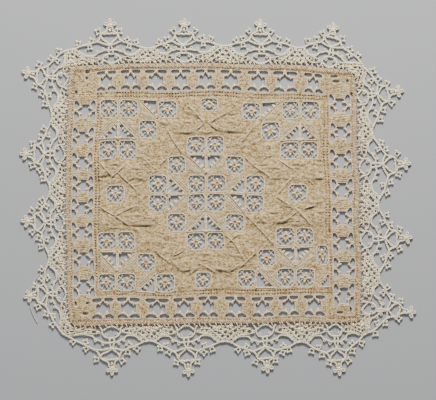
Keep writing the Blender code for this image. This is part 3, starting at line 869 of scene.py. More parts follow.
# Creases where the cloth folds over itself, each from left to right
CREASES = [
    [(-69.7, 21.4), (-64.6, 21.0)], [(-69.1, 18.8), (-65.3, 18.1)],
    [(-56.6, 18.5), (-48.9, 17.9)], [(-79.9, 13.4), (-70.8, 14.1)],
    [(-79.9, 11.5), (-74.8, 11.0)], [(-56.2, 6.8), (-50.7, 7.5)],
    [(-59.8, 9.6), (-55.1, 11.9), (-49.3, 11.2), (-44.2, 15.2)], [(-76.3, 23.8), (-70.4, 24.5)],
    [(-62.4, -9.6), (-56.6, -6.7), (-50.4, -6.0)], [(-55.1, -11.4), (-48.9, -12.2)],
    [(-57.3, -18.7), (-50.4, -18.8), (-42.0, -18.3)], [(-68.6, -17.6), (-65.0, -18.4)],
    [(-70.1, -20.4), (-63.1, -20.4)], [(-50.0, 21.4), (-44.9, 21.9)],
    [(-52.9, 25.8), (-48.2, 26.1)], [(30.0, 25.0), (31.8, 26.5), (36.5, 26.9)],
    [(27.4, 21.4), (32.5, 21.4)], [(34.7, 18.5), (41.3, 18.3)], [(50.0, 21.0), (55.1, 20.1)],
    [(50.0, 18.7), (53.7, 17.9)], [(62.4, 18.3), (66.1, 18.3)],
    [(32.9, 11.9), (36.9, 12.3), (40.9, 11.4), (46.4, 11.9), (50.0, 13.4)],
    [(38.7, 10.1), (42.0, 9.7)], [(55.9, 12.6), (61.0, 11.9), (68.3, 11.9)],
    [(39.8, -6.7), (42.7, -5.6), (46.0, -7.8)], [(32.9, -10.3), (40.2, -10.7)],
    [(56.6, -7.8), (62.4, -6.0)], [(60.3, -4.5), (67.2, -3.4)], [(63.2, -10.0), (70.5, -9.2)],
    [(24.9, -16.5), (28.1, -15.4), (31.1, -16.7)], [(50.0, -16.0), (53.3, -16.0)],
    [(47.1, -18.2), (53.3, -18.5)], [(62.8, 24.0), (71.2, 23.6)],
    [(38.0, -16.9), (43.5, -16.6)], [(-22.5, 48.9), (-18.0, 48.2)], [(3.9, 48.4), (10.8, 48.9)],
    [(-28.0, 42.5), (-17.0, 41.6)], [(-10.7, 41.6), (-7.0, 41.1), (-2.9, 42.5)],
    [(1.2, 42.5), (17.2, 42.0)], [(-39.4, 49.1), (-33.0, 47.0)],
    [(-22.0, 54.8), (-17.0, 53.9), (-15.2, 52.0)], [(3.9, 53.9), (10.3, 53.9)],
    [(20.8, 35.2), (25.4, 35.2)], [(-29.5, -36.8), (-26.5, -34.1), (-22.0, -33.6)],
    [(-31.0, -39.8), (-27.5, -39.8), (-23.5, -38.5)], [(-10.1, -37.5), (-5.6, -37.8)],
    [(-11.6, -41.0), (-7.1, -41.3)], [(5.3, -32.3), (10.8, -32.6)],
    [(7.3, -38.0), (14.8, -38.3)], [(-30.5, -42.6), (-24.5, -48.2), (-18.0, -47.5)],
    [(-3.1, -46.7), (3.4, -47.7), (7.3, -48.7), (12.8, -44.8)],
    [(-18.5, -50.2), (-12.6, -46.2)],
]
print(len(RIBS), "ribs,", len(PUFFS), "puffs and", len(CREASES), "creases")

# %% The height of the cloth
CLOTH_TOP = 1.0
LEAST_TOP = 0.45
HEM_MIDDLE = 1.7
HEM_FLAT = 0.9
HEM_RISE = 0.55
BAND_EDGES = (18.4, 22.6)
BAND_MIDDLE = 20.5
BAND_RISE = 0.22
BAND_MIDDLE_RISE = 0.16
RIB_RISE = 0.3
PUFF_RISE = 0.75
LIP_RISE = 0.5
FOLD_DEPTH = 0.4
SLUB_RISE = 0.05
WRINKLE_RISE = 0.26


def segment_place(points, start, end):
    """Distance along a segment, from 0 to its length and past it, and distance off to its left."""
    run = np.array(end, float) - start
    length = np.linalg.norm(run)
    rest = points - np.array(start, float)
    along = (rest @ run) / length
    off = (rest[..., 1] * run[0] - rest[..., 0] * run[1]) / length
    return along, off, length


def bell(value, width):
    """A bell curve: 1 at 0 and about a third at the width."""
    return np.exp(-(value / width) ** 2)


def beside(along, length, soft):
    """1 beside a segment, falling off as a bell curve past its ends."""
    return bell(np.maximum(np.maximum(-along, along - length), 0), soft)


def add_wrinkles(height, x, y, plain):
    """Fine wrinkles: thin crests of a bent wave, only in patches of plain cloth."""
    for k in range(4):
        swing = RANDOM.uniform(0.5, 1.6) * np.sin(0.16 * x + RANDOM.uniform(0, TAU))
        swing = swing + 0.9 * np.sin(0.31 * x - 0.12 * y + RANDOM.uniform(0, TAU))
        wave = np.sin(TAU * (y + swing) / RANDOM.uniform(4.0, 7.0) + RANDOM.uniform(0, TAU))
        patch = np.sin(0.19 * x + 0.4 * k + RANDOM.uniform(0, TAU))
        patch = patch * np.sin(0.13 * y + RANDOM.uniform(0, TAU))
        crest = np.maximum(wave, 0) ** 6 - 0.8 * np.maximum(-wave, 0) ** 8
        height += WRINKLE_RISE * crest * np.clip(patch * 1.6, 0, 1) * plain


def cloth_height(points, plain):
    """Height of the upper face and depth of its creases: hem, ribs, puffs, creases, slow waves."""
    x, y = points[..., 0], points[..., 1]
    depth = side_depths(x, y).min(axis=-1)
    height = CLOTH_TOP + 0.12 * np.sin(0.09 * x + 0.05 * y + 1.0) * np.sin(0.08 * y - 0.03 * x)
    height += HEM_RISE * bell(np.maximum(np.abs(depth - HEM_MIDDLE) - HEM_FLAT, 0), 0.6)
    outer, inner = BAND_EDGES
    height += BAND_RISE * bell(depth - outer, 0.5) + BAND_RISE * bell(depth - inner, 0.6)
    height += BAND_MIDDLE_RISE * bell(depth - BAND_MIDDLE, 0.5)
    for x0, y0, half_x, half_y in PUFFS:
        inside = 1 - ((x - x0) / half_x) ** 2 - ((y - y0) / half_y) ** 2
        height += PUFF_RISE * np.clip(inside, 0, 1) ** 0.75
    fold, lip = np.zeros_like(x), np.zeros_like(x)
    for x0, y0, x1, y1 in RIBS:
        along, off, length = segment_place(points, (x0, y0), (x1, y1))
        north = off * math.copysign(1, x1 - x0)
        fade = beside(along, length, 1.2)
        height += RIB_RISE * (bell(off, 0.6) + 0.5 * bell(off, 2.2)) * fade
        # a trough on the rib's side away from the lamp, which the finish also paints dark as the
        # rib's shadow
        fold = np.maximum(fold, 0.45 * bell(north + 0.95, 0.5) * fade)
    for line in CREASES:
        for start, end in zip(line, line[1:]):
            along, off, length = segment_place(points, start, end)
            taper = 0.35 + 0.65 * np.sin(math.pi * np.clip(along / length, 0, 1))
            fade = beside(along, length, 0.9) * taper
            fold = np.maximum(fold, bell(off, 0.45) * fade)
            lip = np.maximum(lip, bell(off - 1.0, 0.7) * fade)
    height += LIP_RISE * lip - FOLD_DEPTH * fold
    # the weave's own unevenness: thick and thin threads lift the cloth by chance
    height += SLUB_RISE * RANDOM.standard_normal(x.shape).clip(-2, 2)
    add_wrinkles(height, x, y, plain)
    return np.maximum(height, LEAST_TOP), fold


# %% [markdown]
# ## The woven wings
# Beside each cut wedge lies a leaf of closely woven thread, paler than the cloth, with a slanting
# grain. It could be a piece of its own, but it is worked in the cloth's threads and lies level
# with them. So it is a number on the mesh that is 1 inside the leaf, which the material reads.
# `slant` turns its grain to run along the leaf.

# %% The wings' leaves


def wing_leaves(points):
    """1 in each leaf, falling to 0 at its edge, and the slant of its grain."""
    leaf = np.zeros(points.shape[:-1])
    slant = np.zeros(points.shape[:-1])
    for wing in wings:
        u = (points[..., 0] - wing["corner"][0]) / wing["edges"][0]
        v = (points[..., 1] - wing["corner"][1]) / wing["edges"][1]
        out, aside = u + v - 0.98, np.abs(u - v)
        reach = 0.62 * np.clip(1 - (aside / 1.15) ** 2, 0, 1)
        inside = np.clip((reach - out) * 8, 0, 1) * np.clip((out + 0.02) * 12, 0, 1)
        leaf = np.maximum(leaf, inside)
        way = math.copysign(1, wing["edges"][0] * wing["edges"][1])
        slant = np.where(inside > 0.02, way, slant)
    return leaf, slant


print(len(wings), "leaves of woven thread")

# %% [markdown]
# ## Weaving the cloth
# Now the cloth itself: first the outlines of its openings, then a lattice with a point every 0.75 mm.
# A coarser one would lose the ribs, and a finer one would add faces that nothing needs. Holes,
# relief, leaves and depths are all worked out on it at once. A number on each point compares its
# height with the mean round it, so the material can paint shade into hollows and a highlight onto
# crests.

# %% The openings' outlines
WING_HOLE = [(0.05, 0.05), (0.95, 0.05), (0.46, 0.44), (0.05, 0.92)]
CORNER_CUTS = [
    (-84.6, 82.1, 1.8, 1.1), (-85.0, 78.1, 0.8, 1.1), (-92.3, 68.8, 0.8, 2.2),
    (75.4, 79.0, 2.6, 0.8), (77.0, 75.6, 2.8, 0.8), (83.9, 75.1, 0.8, 2.4), (86.3, 67.1, 0.8, 2.2),
    (-86.0, -75.2, 2.2, 0.8), (-92.0, -68.6, 0.9, 1.6), (-84.6, -68.4, 1.2, 0.8),
    (79.0, -74.0, 2.4, 0.8), (86.4, -72.0, 0.8, 1.8), (76.0, -68.6, 1.2, 0.7),
]


def square_loop(x, y, half_x, half_y, power=5.0, count=28):
    """A rounded square: a superellipse, whose power sets how square it is."""
    angle = TAU * np.arange(count) / count
    c, s = np.cos(angle), np.sin(angle)
    reach = (np.abs(c) ** power + np.abs(s) ** power) ** (-1 / power)
    return np.stack([x + half_x * reach * c, y + half_y * reach * s], axis=1)


def wing_loop(wing):
    """The wedge cut beside a wing, from its square corner."""
    return np.array(wing["corner"]) + np.array(WING_HOLE) * np.array(wing["edges"])


holes = [square_loop(*square) for square in squares]
holes += [wing_loop(wing) for wing in wings]
holes += [ladder_loop(gap) for gap in ladder]
holes += [square_loop(*cut, power=2.0, count=10) for cut in CORNER_CUTS]
print(len(holes), "openings in the linen")

# %% The lattice and its relief
LATTICE = 0.75
CLOTH_REACH = 6.0
FIELD_DEPTH = 22.0
BOUND_RISE = 0.15
BAR_CROWN = 0.45
HOLLOW_UNIT = 0.2


def blurred(field, reach):
    """The mean over a square of lattice points, by shifting the field along both axes."""
    for axis in (0, 1):
        shifted = [np.roll(field, k, axis=axis) for k in range(-reach, reach + 1)]
        field = sum(shifted) / (2 * reach + 1)
    return field


low, high = outline.min(axis=0) - LATTICE, outline.max(axis=0) + LATTICE
axes = [np.arange(low[k], high[k] + LATTICE, LATTICE) for k in range(2)]
lattice = np.stack(np.meshgrid(*axes, indexing="ij"), axis=-1)
flat_points = lattice.reshape(-1, 2)
distance, nearest = cut_distance(flat_points, holes, outline, CLOTH_REACH)
shape = lattice.shape[:2]
depths = side_depths(flat_points[:, 0], flat_points[:, 1])
depth = depths.min(axis=1)
plain = np.clip((distance - 1.0) / 2.0, 0, 1) * np.clip((depth - FIELD_DEPTH) / 2.0, 0, 1)
relief, fold = cloth_height(flat_points, plain)
relief += BOUND_RISE * bell(distance - 0.7, 0.8) * (depth > HEM_DEPTH)
in_ladder = (depth > LADDER_BAND[0]) & (depth < LADDER_BAND[1])
relief += in_ladder * BAR_CROWN * np.clip(distance / 2.6, 0, 1) ** 0.6
# how far each point lies below the mean round it, read by the finish as painted shade and highlight
hollow_shading = (blurred(relief.reshape(shape), 2).ravel() - relief) / HOLLOW_UNIT
print("lattice of", shape, "points, up to", relief.max().round(2), "mm high")

# %% The cloth
leaf, slant = wing_leaves(flat_points)
flat, quads, tris = pierced_cells(shape, flat_points, distance, nearest, LATTICE)
top_points = np.concatenate([wander(flat), relief[:, None]], axis=1)
points, quads, tris = shell(top_points, quads, tris)
attributes = {
    "depths": depths[:, :3], "left": depths[:, 3], "hollow_shading": np.clip(hollow_shading, -1.5, 1.5),
    "wing": leaf, "slant": slant, "bound": bell(np.maximum(distance - 0.4, 0), 0.7),
    "plain": plain, "crease_shade": fold,
}
attributes = {key: np.concatenate([value, value]) for key, value in attributes.items()}
cloth = make_piece("linen_cloth", points, quads, tris, linen_finish, attributes)

# %% [markdown]
# ## Bound edges
# A cut edge frays unless it is bound, so every opening has a cord of close stitches along it. A
# bevel would round the sheet's edge, but it would stay as even and as brown as the cloth. So each
# cord is a thread laid on the same outline as its hole, sunk a little into the relief, with a
# width that swells and narrows by chance.

# %% Cords along the openings
CORD_STEP = 0.8
CORD_SINK = 0.15
UNEVENNESS = 0.12
height_grid = relief.reshape(shape)


def on_cloth(flat_path, rise=0.0):
    """Lifts a flat path to the cloth's upper face, read from the lattice between its points."""
    where = (np.asarray(flat_path) - low) / LATTICE
    cell = np.clip(np.floor(where).astype(int), 0, np.array(shape) - 2)
    part = np.clip(where - cell, 0, 1)
    i, j = cell.T
    a = height_grid[i, j] * (1 - part[:, 0]) + height_grid[i + 1, j] * part[:, 0]
    b = height_grid[i, j + 1] * (1 - part[:, 0]) + height_grid[i + 1, j + 1] * part[:, 0]
    return np.column_stack([flat_path, a * (1 - part[:, 1]) + b * part[:, 1] + rise])


def uneven_width(count, base):
    """A width that swells and narrows by chance along a path."""
    return base * (1 + UNEVENNESS * RANDOM.standard_normal(count).clip(-1.5, 1.5))


cords = Threads()
for x, y, half_x, half_y in squares:
    path = smooth_path(square_loop(x, y, half_x + 0.1, half_y + 0.1), CORD_STEP, closed=True)
    path = on_cloth(path, -CORD_SINK)
    cords.lay(path, uneven_width(len(path), 0.65), 0.8, 5, closed=True, tone=0.05)
for wing in wings:
    corner_at, edges = np.array(wing["corner"]), np.array(wing["edges"])
    level = [(0.0, 0.035), (0.5, 0.04), (0.97, 0.02)]
    steep = [(0.035, 0.0), (0.04, 0.5), (0.02, 0.95)]
    axis, leg = (steep, level) if wing["upright"] else (level, steep)
    for chart, wide, tone in ((axis, 0.85, 0.15), (leg, 0.6, 0.45),
                              ([(0.97, 0.03), (0.47, 0.47), (0.03, 0.95)], 0.55, 0.1)):
        path = on_cloth(smooth_path(corner_at + np.array(chart) * edges, CORD_STEP))
        cords.lay(path, uneven_width(len(path), wide), 0.9, 6, tone=tone)
for gap in ladder:
    path = on_cloth(smooth_path(ladder_loop(gap), CORD_STEP, closed=True), -CORD_SINK)
    cords.lay(path, uneven_width(len(path), 0.65), 0.85, 5, closed=True,
              tone=RANDOM.uniform(0.1, 0.6))
print("cords along", len(squares) + len(wings) + len(ladder), "openings")

# %% [markdown]
# ## Arches, pins and teeth
# The ladder's arches are bound bars with pins that point into the gap. The wedges' long edges have
# a row of white teeth, and where two wedges meet, a bar carries a knot with two small barbs. One
# model could be copied to each place, but the gaps differ in width and no two pins were worked
# alike. So each is laid as thread, by its gap's own measures, and chance moves its length and its
# lean.

# %% The ladder's bars and pins
THREAD_TOP = 0.7
BAR_TOP = 0.85


def at_height(flat, height=THREAD_TOP):
    """Flat places, one or a row of them, with a height added."""
    flat = np.asarray(flat)
    return np.concatenate([flat, np.full((*flat.shape[:-1], 1), height)], axis=-1)


def from_end(gap, end, a, v):
    """A place in a gap, with v counted from the hem (end 0) or from the field (end 1)."""
    v = np.array(v)
    return ladder_place(gap, a, 1 - v if end else v)


for gap in ladder:
    half = gap["half"]
    for end in (0, 1):
        along = RANDOM.normal(0, 0.2) + np.zeros(4)
        path = at_height(from_end(gap, end, along, [-0.02, 0.06, 0.13, 0.19]), BAR_TOP)
        cords.lay(path, np.array([3.0, 2.2, 1.9, 1.4]), 0.9, tone=0.55)
        for way, slit in zip((-1, 1), gap["slits"]):
            jitter = RANDOM.uniform(-0.02, 0.02)
            a = way * np.array([half + 0.7 * slit, 0.85 * half, 0.5 * half, 0.2 * half, 0.08 * half])
            v = [0.275, 0.29, 0.265 + jitter, 0.21 + jitter, 0.1]
            path = at_height(smooth_path(from_end(gap, end, a, v), CORD_STEP), BAR_TOP)
            cords.lay(path, uneven_width(len(path), 0.95), 1.0, tone=RANDOM.uniform(0.1, 0.5))
            a = way * half * np.array([0.42, RANDOM.uniform(0.42, 0.72)])
            start, stop = from_end(gap, end, a, [0.21, RANDOM.uniform(0.35, 0.41)])
            cords.pin(at_height(start, BAR_TOP), at_height(stop, BAR_TOP - 0.1), 1.35, 1.1,
                      tone=-0.1, tip=0.8)
print("bars and pins in", len(ladder), "gaps")

# %% The wedges' teeth and knots
MEETING = 3.0
KNOT_TOP = 1.2
for wing in wings:
    corner_at, edges = np.array(wing["corner"]), np.array(wing["edges"])
    for share in np.array([0.15, 0.33, 0.5, 0.67, 0.85]) + RANDOM.uniform(-0.04, 0.04, 5):
        base = np.array([0.97 * share, 0.95 * (1 - share)]) - 0.08 * share * (1 - share)
        tooth = base - RANDOM.uniform(0.1, 0.17)
        cords.pin(at_height(corner_at + base * edges), at_height(corner_at + tooth * edges),
                  RANDOM.uniform(1.9, 2.4), 0.8, tone=RANDOM.uniform(-0.3, 0.2), tip=0.3)
    if sum(math.dist(other["corner"], corner_at) < MEETING for other in wings) > 1:
        barb = np.array([(0.03, 0.0), (0.2, 0.14)] if wing["upright"] else [(0.0, 0.03), (0.14, 0.2)])
        start, stop = corner_at + barb * edges
        cords.pin(at_height(start, KNOT_TOP), at_height(stop, KNOT_TOP - 0.2), 1.3, 1.0,
                  tone=-0.2, tip=0.9)
        cords.bud(at_height(corner_at, KNOT_TOP), (1, 0), 2.2, 2.2, 1.3, tone=0.15)
print("teeth along", len(wings), "wedges")

# %% [markdown]
# ## Hem stitches
# The hem is folded over twice and held by slanted stitches, no two alike. A texture could paint
# them, but they stand up and catch the light. So each is one short thread, at a place, a lean and
# a length that chance moves a little, and it is laid over the hem's own relief.

# %% Hem stitches
HEM_STITCH_PITCH = 2.7
top_right, bottom_left = corner(1, 1, 0), corner(-1, -1, 0)
for side, _, _ in EDGES:
    axis = run_axis(side)
    places = np.arange(bottom_left[axis] + 6.0, top_right[axis] - 8.0, HEM_STITCH_PITCH)
    for along in places + RANDOM.normal(0, 0.6, len(places)):
        lean = RANDOM.normal(0.9, 1.3)
        inset = np.array([0.3, 1.7, RANDOM.uniform(2.6, 3.6)])
        flat_path = on_side(side, along + lean * np.array([0.0, 0.5, 1.0]), inset)
        cords.lay(on_cloth(flat_path), 0.55, 0.4, 5, tone=RANDOM.uniform(0.3, 1.0))
cord_piece = cords.piece("linen_cords", needle_thread, wander)

# %% [markdown]
# ## The stars
# Each cut square holds a star worked with a needle on four diagonal threads: a round heart, four
# short pins that point at the sides, and a small arch across each corner. The heart is a ring of
# thread round a low tan knot. One star copied everywhere would look stamped. So each is laid anew,
# in the half widths of its own square, turned and stretched a little by chance.

# %% Rosettes
HEART = 1.85
STAR_BAR = [(1.0, 1.0), (0.66, 0.66), (0.34, 0.34), (0.18, 0.18)]
STAR_ARCH = [(1.0, 0.34), (0.74, 0.46), (0.46, 0.74), (0.34, 1.0)]
QUARTERS = [(1, 0), (0, 1), (-1, 0), (0, -1)]
stars = Threads()
for x, y, half_x, half_y in squares:
    turn = RANDOM.normal(0, 0.07)
    centre = np.array([x, y]) + RANDOM.normal(0, 0.22, 2)
    half = np.array([half_x, half_y])
    c, s = math.cos(turn), math.sin(turn)
    spin = np.array([[c, -s], [s, c]])

    def star(u, v, height=THREAD_TOP):
        """A place in a star, in half widths of its square, turned with it."""
        return at_height(centre + half * (spin @ np.array([u, v])), height)

    heart = HEART * RANDOM.uniform(0.85, 1.15)
    tan = RANDOM.uniform(0.45, 1.0)
    stars.ring(star(0, 0), (1, 0.2), heart * 1.5, heart * 1.4, heart * 0.65,
               tone=tan, count=12, sides=6)
    stars.bud(star(0, 0, THREAD_TOP - 0.25), (1, 0.3), heart * 1.4, heart * 1.3, 0.7, tone=1.0)
    for c, s in QUARTERS:
        reach = RANDOM.uniform(0.56, 0.68)
        aside = RANDOM.normal(0, 0.05)
        stars.pin(star(0.26 * c, 0.26 * s), star(reach * c - aside * s, reach * s + aside * c),
                  1.6, 1.3, tone=RANDOM.uniform(-0.5, 0.1), tip=0.9)
        bar = np.array([star(u * c - v * s, u * s + v * c) for u, v in STAR_BAR])
        bar[0, :2] = np.array([x, y]) + half * np.array([c - s, s + c]) * 0.95
        path = smooth_path(bar, CORD_STEP)
        stars.lay(path, uneven_width(len(path), 0.45), 0.5, 5, tone=-0.3)
        arch = np.array([star(u * c - v * s, u * s + v * c) for u, v in STAR_ARCH])
        path = smooth_path(arch, CORD_STEP)
        stars.lay(path, uneven_width(len(path), 0.55), 0.5, 5, tone=-0.6)
star_piece = stars.piece("linen_stars", needle_thread, wander)

# %% [markdown]
# ## Raised ribs
# Thin corded ribs cross the field at a slant, where a thread was sewn down over and over. The
# relief above already lifts the cloth under them, but that alone is too soft to show as a cord. So
# each rib is a thread as well, half sunk in the cloth, thin at both ends and bent a little off the
# straight.

# %% Ribs
ribs = Threads()
for x0, y0, x1, y1 in RIBS:
    run = np.array([x1 - x0, y1 - y0])
    side = np.array([-run[1], run[0]]) / np.linalg.norm(run)
    bend = RANDOM.normal(0, 0.25)
    ends = np.array([[x0, y0], [x0, y0] + run / 2 + side * bend, [x1, y1]])
    path = on_cloth(smooth_path(ends, CORD_STEP))
    t, back = np.linspace(0, 1, len(path)), np.linspace(1, 0, len(path))
    taper = np.sqrt(np.clip(t * back * 8, 0.05, 1))
    ribs.lay(path, 0.6 * taper, 0.75 * taper, 6, tone=0.45)
rib_piece = ribs.piece("linen_ribs", needle_thread, wander)

# %% [markdown]
# ## The edging's chart
# Bobbin lace is worked on a pricking, a card whose one repeat is pinned again and again. Each of
# the sixteen points could be drawn on its own, but then every change is made sixteen times. So
# there is one chart of a point. `point_place` takes a place on it, u along the hem from one valley
# (-1) to the next (1) and v from the hem (0) to the tip (1), and returns where it lies. Knots,
# tips and valleys are where this lace has them, as its points lean and shrink at the corners.

# %% Places of the sixteen points
SEWN_GAP = 0.3
HALF_PITCH = 24.5
REACH = 28.8
VALLEY_OUT = 0.39
KNOT_OUT = 0.45
TIPS = [
    (-70.3, 116.2), (-22.1, 116.2), (27.6, 115.5), (75.2, 113.2),
    (120.4, 69.4), (126.0, 22.5), (126.9, -26.4), (128.4, -74.9),
    (79.0, -116.5), (31.5, -113.8), (-20.3, -116.1), (-69.6, -115.6),
    (-126.2, -65.1), (-127.9, -15.8), (-128.4, 28.7), (-127.1, 82.8),
]
KNOTS = [
    (-69.6, 98.8), (-22.2, 99.5), (27.6, 99.0), (73.2, 97.8),
    (103.2, 66.9), (107.3, 20.9), (108.4, -26.4), (110.3, -72.7),
    (76.6, -98.4), (31.1, -97.6), (-20.5, -97.8), (-68.8, -97.8),
    (-110.7, -62.8), (-112.5, -15.5), (-112.5, 28.3), (-110.7, 78.6),
]
VALLEYS = [
    (-97.5, 96.6), (-45.8, 97.7), (3.3, 99.4), (51.7, 98.2),
    (94.9, 85.2), (100.9, 42.7), (105.0, -4.1), (105.3, -50.9),
    (96.5, -88.9), (54.0, -94.6), (4.4, -94.2), (-45.1, -93.8),
    (-102.0, -88.4), (-110.8, -39.2), (-110.2, 5.0), (-108.9, 52.5),
]
print(len(TIPS), "points,", len(VALLEYS), "valleys")

# %% The chart of a point
FOOT_STEP = 1.2
foot = wander(frame_loop(-SEWN_GAP, FOOT_STEP))
foot = np.concatenate([foot, foot[:1]])
foot_run = np.concatenate([[0], np.cumsum(np.linalg.norm(np.diff(foot, axis=0), axis=1))])


def run_nearest(place):
    """Distance along the hem of the point nearest to a place."""
    step = np.diff(foot, axis=0)
    rest = np.array(place) - foot[:-1]
    share = np.clip((rest * step).sum(1) / (step * step).sum(1), 0, 1)
    i = int(np.linalg.norm(rest - share[:, None] * step, axis=1).argmin())
    return foot_run[i] + share[i] * (foot_run[i + 1] - foot_run[i])


def foot_at(run):
    """The point of the hem at a distance along it."""
    run = np.mod(run, foot_run[-1])
    return np.stack([np.interp(run, foot_run, foot[:, k]) for k in range(2)], axis=-1)


VALLEY_RUNS = [run_nearest(valley) for valley in VALLEYS]
SWAY = RANDOM.uniform(0, TAU, (len(TIPS), 4))


def point_place(index, u, v):
    """Chart to place: middle line and side lines blended by u^2 (3 - 2|u|), plus a small sway."""
    u, v = np.broadcast_arrays(np.asarray(u, float), np.asarray(v, float))
    a, b, c, d = SWAY[index]
    calm = (1 - u * u) * np.clip(5 * v, 0, 1)
    u, v = (u + calm * (0.022 * np.sin(5 * v + a) + 0.014 * np.sin(6 * u + b)),
            v + calm * (0.012 * np.sin(5 * u + c) + 0.008 * np.sin(9 * v + d)))
    middle = run_nearest(KNOTS[index])
    after = (VALLEY_RUNS[(index + 1) % len(TIPS)] - middle) % foot_run[-1]
    before = (middle - VALLEY_RUNS[index]) % foot_run[-1]
    knot = np.array(KNOTS[index]) - foot_at(middle)
    tip = np.array(TIPS[index]) - np.array(KNOTS[index])
    out = np.minimum(v, KNOT_OUT)[..., None] / KNOT_OUT * knot
    out = out + np.maximum(v - KNOT_OUT, 0)[..., None] / (1 - KNOT_OUT) * tip
    first = (np.array(VALLEYS[index]) - foot_at(VALLEY_RUNS[index])) / VALLEY_OUT
    index = (index + 1) % len(TIPS)
    last = (np.array(VALLEYS[index]) - foot_at(VALLEY_RUNS[index])) / VALLEY_OUT
    side = v[..., None] * np.where(u[..., None] > 0, last, first)
    share = (u * u * (3 - 2 * np.abs(u)))[..., None]
    return foot_at(middle + u * np.where(u > 0, after, before)) + (1 - share) * out + share * side


def valley_place(index, w, v):
    """The same round the valley before a point: w is 0 in the valley and grows clockwise."""
    w, v = np.broadcast_arrays(np.asarray(w, float), np.asarray(v, float))
    before = point_place(index - 1, np.where(w < 0, 1 + w, 1), v)
    after = point_place(index, np.where(w > 0, w - 1, -1), v)
    return np.where((w < 0)[..., None], before, after)


print("edging foot:", round(foot_run[-1]), "mm round the hem")

# %% [markdown]
# ## Clothwork
# Between the points' arches the bobbins weave a small cloth, left open wherever two pairs turn back.
# Laying each of its threads would take more faces than the whole linen. So it is pierced like the
# linen, but on the chart, where its outline and openings are simple, and is then carried to its
# place. Its finish adds the finer weave, and its smallest eyelets are dark dots of painted shade.

# %% Clothwork's outline and openings
# Half of its outline and its openings, as chart places; openings also give width and height in mm
CLOTHWORK_EDGE = [
    (1.0, 0.375), (0.93, 0.378), (0.86, 0.385), (0.80, 0.40), (0.765, 0.35), (0.73, 0.29),
    (0.68, 0.25), (0.60, 0.22), (0.50, 0.215), (0.42, 0.19), (0.33, 0.175), (0.27, 0.14),
    (0.28, 0.10), (0.27, 0.06), (0.29, 0.03), (0.45, 0.022), (0.7, 0.034), (0.86, 0.024),
]
CLOTHWORK_HOLES = [
    (0.315, 0.060, 3.0, 2.5), (0.41, 0.130, 2.4, 2.1), (0.45, 0.035, 2.5, 1.5),
    (0.53, 0.115, 1.5, 1.3), (0.58, 0.040, 2.2, 1.6), (0.66, 0.085, 1.5, 1.5),
    (0.745, 0.125, 2.3, 1.9), (0.845, 0.195, 2.4, 1.9), (0.93, 0.262, 2.0, 1.9),
    (0.70, 0.005, 1.8, 1.2), (0.785, 0.050, 1.9, 1.4), (0.88, 0.100, 1.8, 1.5),
    (1.0, 0.170, 2.1, 1.6), (0.90, 0.020, 1.6, 1.2), (1.0, 0.060, 1.5, 1.3),
    (0.77, 0.250, 1.1, 1.1), (0.70, 0.205, 1.1, 1.1), (0.82, 0.310, 1.2, 1.1),
    (0.62, 0.165, 1.2, 1.1), (0.88, 0.335, 1.2, 1.0), (1.0, 0.320, 1.3, 1.0),
    (0.53, 0.170, 1.1, 1.0),
]
CLOTHWORK_STEP = 0.62
CLOTHWORK_TOP = 0.9
CLOTHWORK_REACH = 4.0
OPENING_POWER = 2.6
OPENING_POINTS = 10
CHART_SIZE = np.array([HALF_PITCH, REACH])
CHART_WIDE = 0.76
CHART_HIGH = 0.42
print(len(CLOTHWORK_HOLES), "openings in half a valley")

# %% Clothwork material


def clothwork_material():
    """Ivory clothwork: threads along and across the strip, with dark dots of painted shade for small
    eyelets between them.
    """
    s = Shader("clothwork")
    place = s.place()
    w, v, _ = s.parts(s.vector("chart"))
    swing = s.noise(place, 260.0, detail=1.0) * 1.3
    along, across = ripple(v + w + swing, 2.2), ripple(w - v + swing, 2.3)
    cloud = s.noise(place, 150.0)
    speck = s.noise(place, 800.0, detail=4.0, rough=0.65)
    eyelet = (along * across).step(0.2, 0.6) * cloud.step(0.28, 0.48)
    tone = s.number("tone")
    colour = s.layered(tint(238, 226, 192), [
        (tint(212, 176, 120), (tone + (cloud - 0.5) * 0.9).clamped()),
        (tint(254, 248, 228), speck.step(0.5, 0.62) * 0.85),
        (tint(104, 80, 48), speck.step(0.46, 0.32) * 0.75),
        # painted shade in the small eyelets
        (tint(50, 38, 24), eyelet * 0.9),
    ])
    height = speck * 0.8 - eyelet * 1.6
    return s.finish(colour, 0.88, height, 0.00035)


# %% Clothwork in the valleys


def hole_loop(u, v, wide, high):
    """An opening of the clothwork: a rounded oval, in millimetres of the chart."""
    w = math.copysign(1 - abs(u), u)
    centre = np.array([w, v]) * CHART_SIZE + RANDOM.normal(0, 0.22, 2)
    wide, high = np.array([wide, high]) * RANDOM.uniform(0.8, 1.15, 2)
    return square_loop(*centre, wide / 2, high / 2, power=OPENING_POWER, count=OPENING_POINTS)


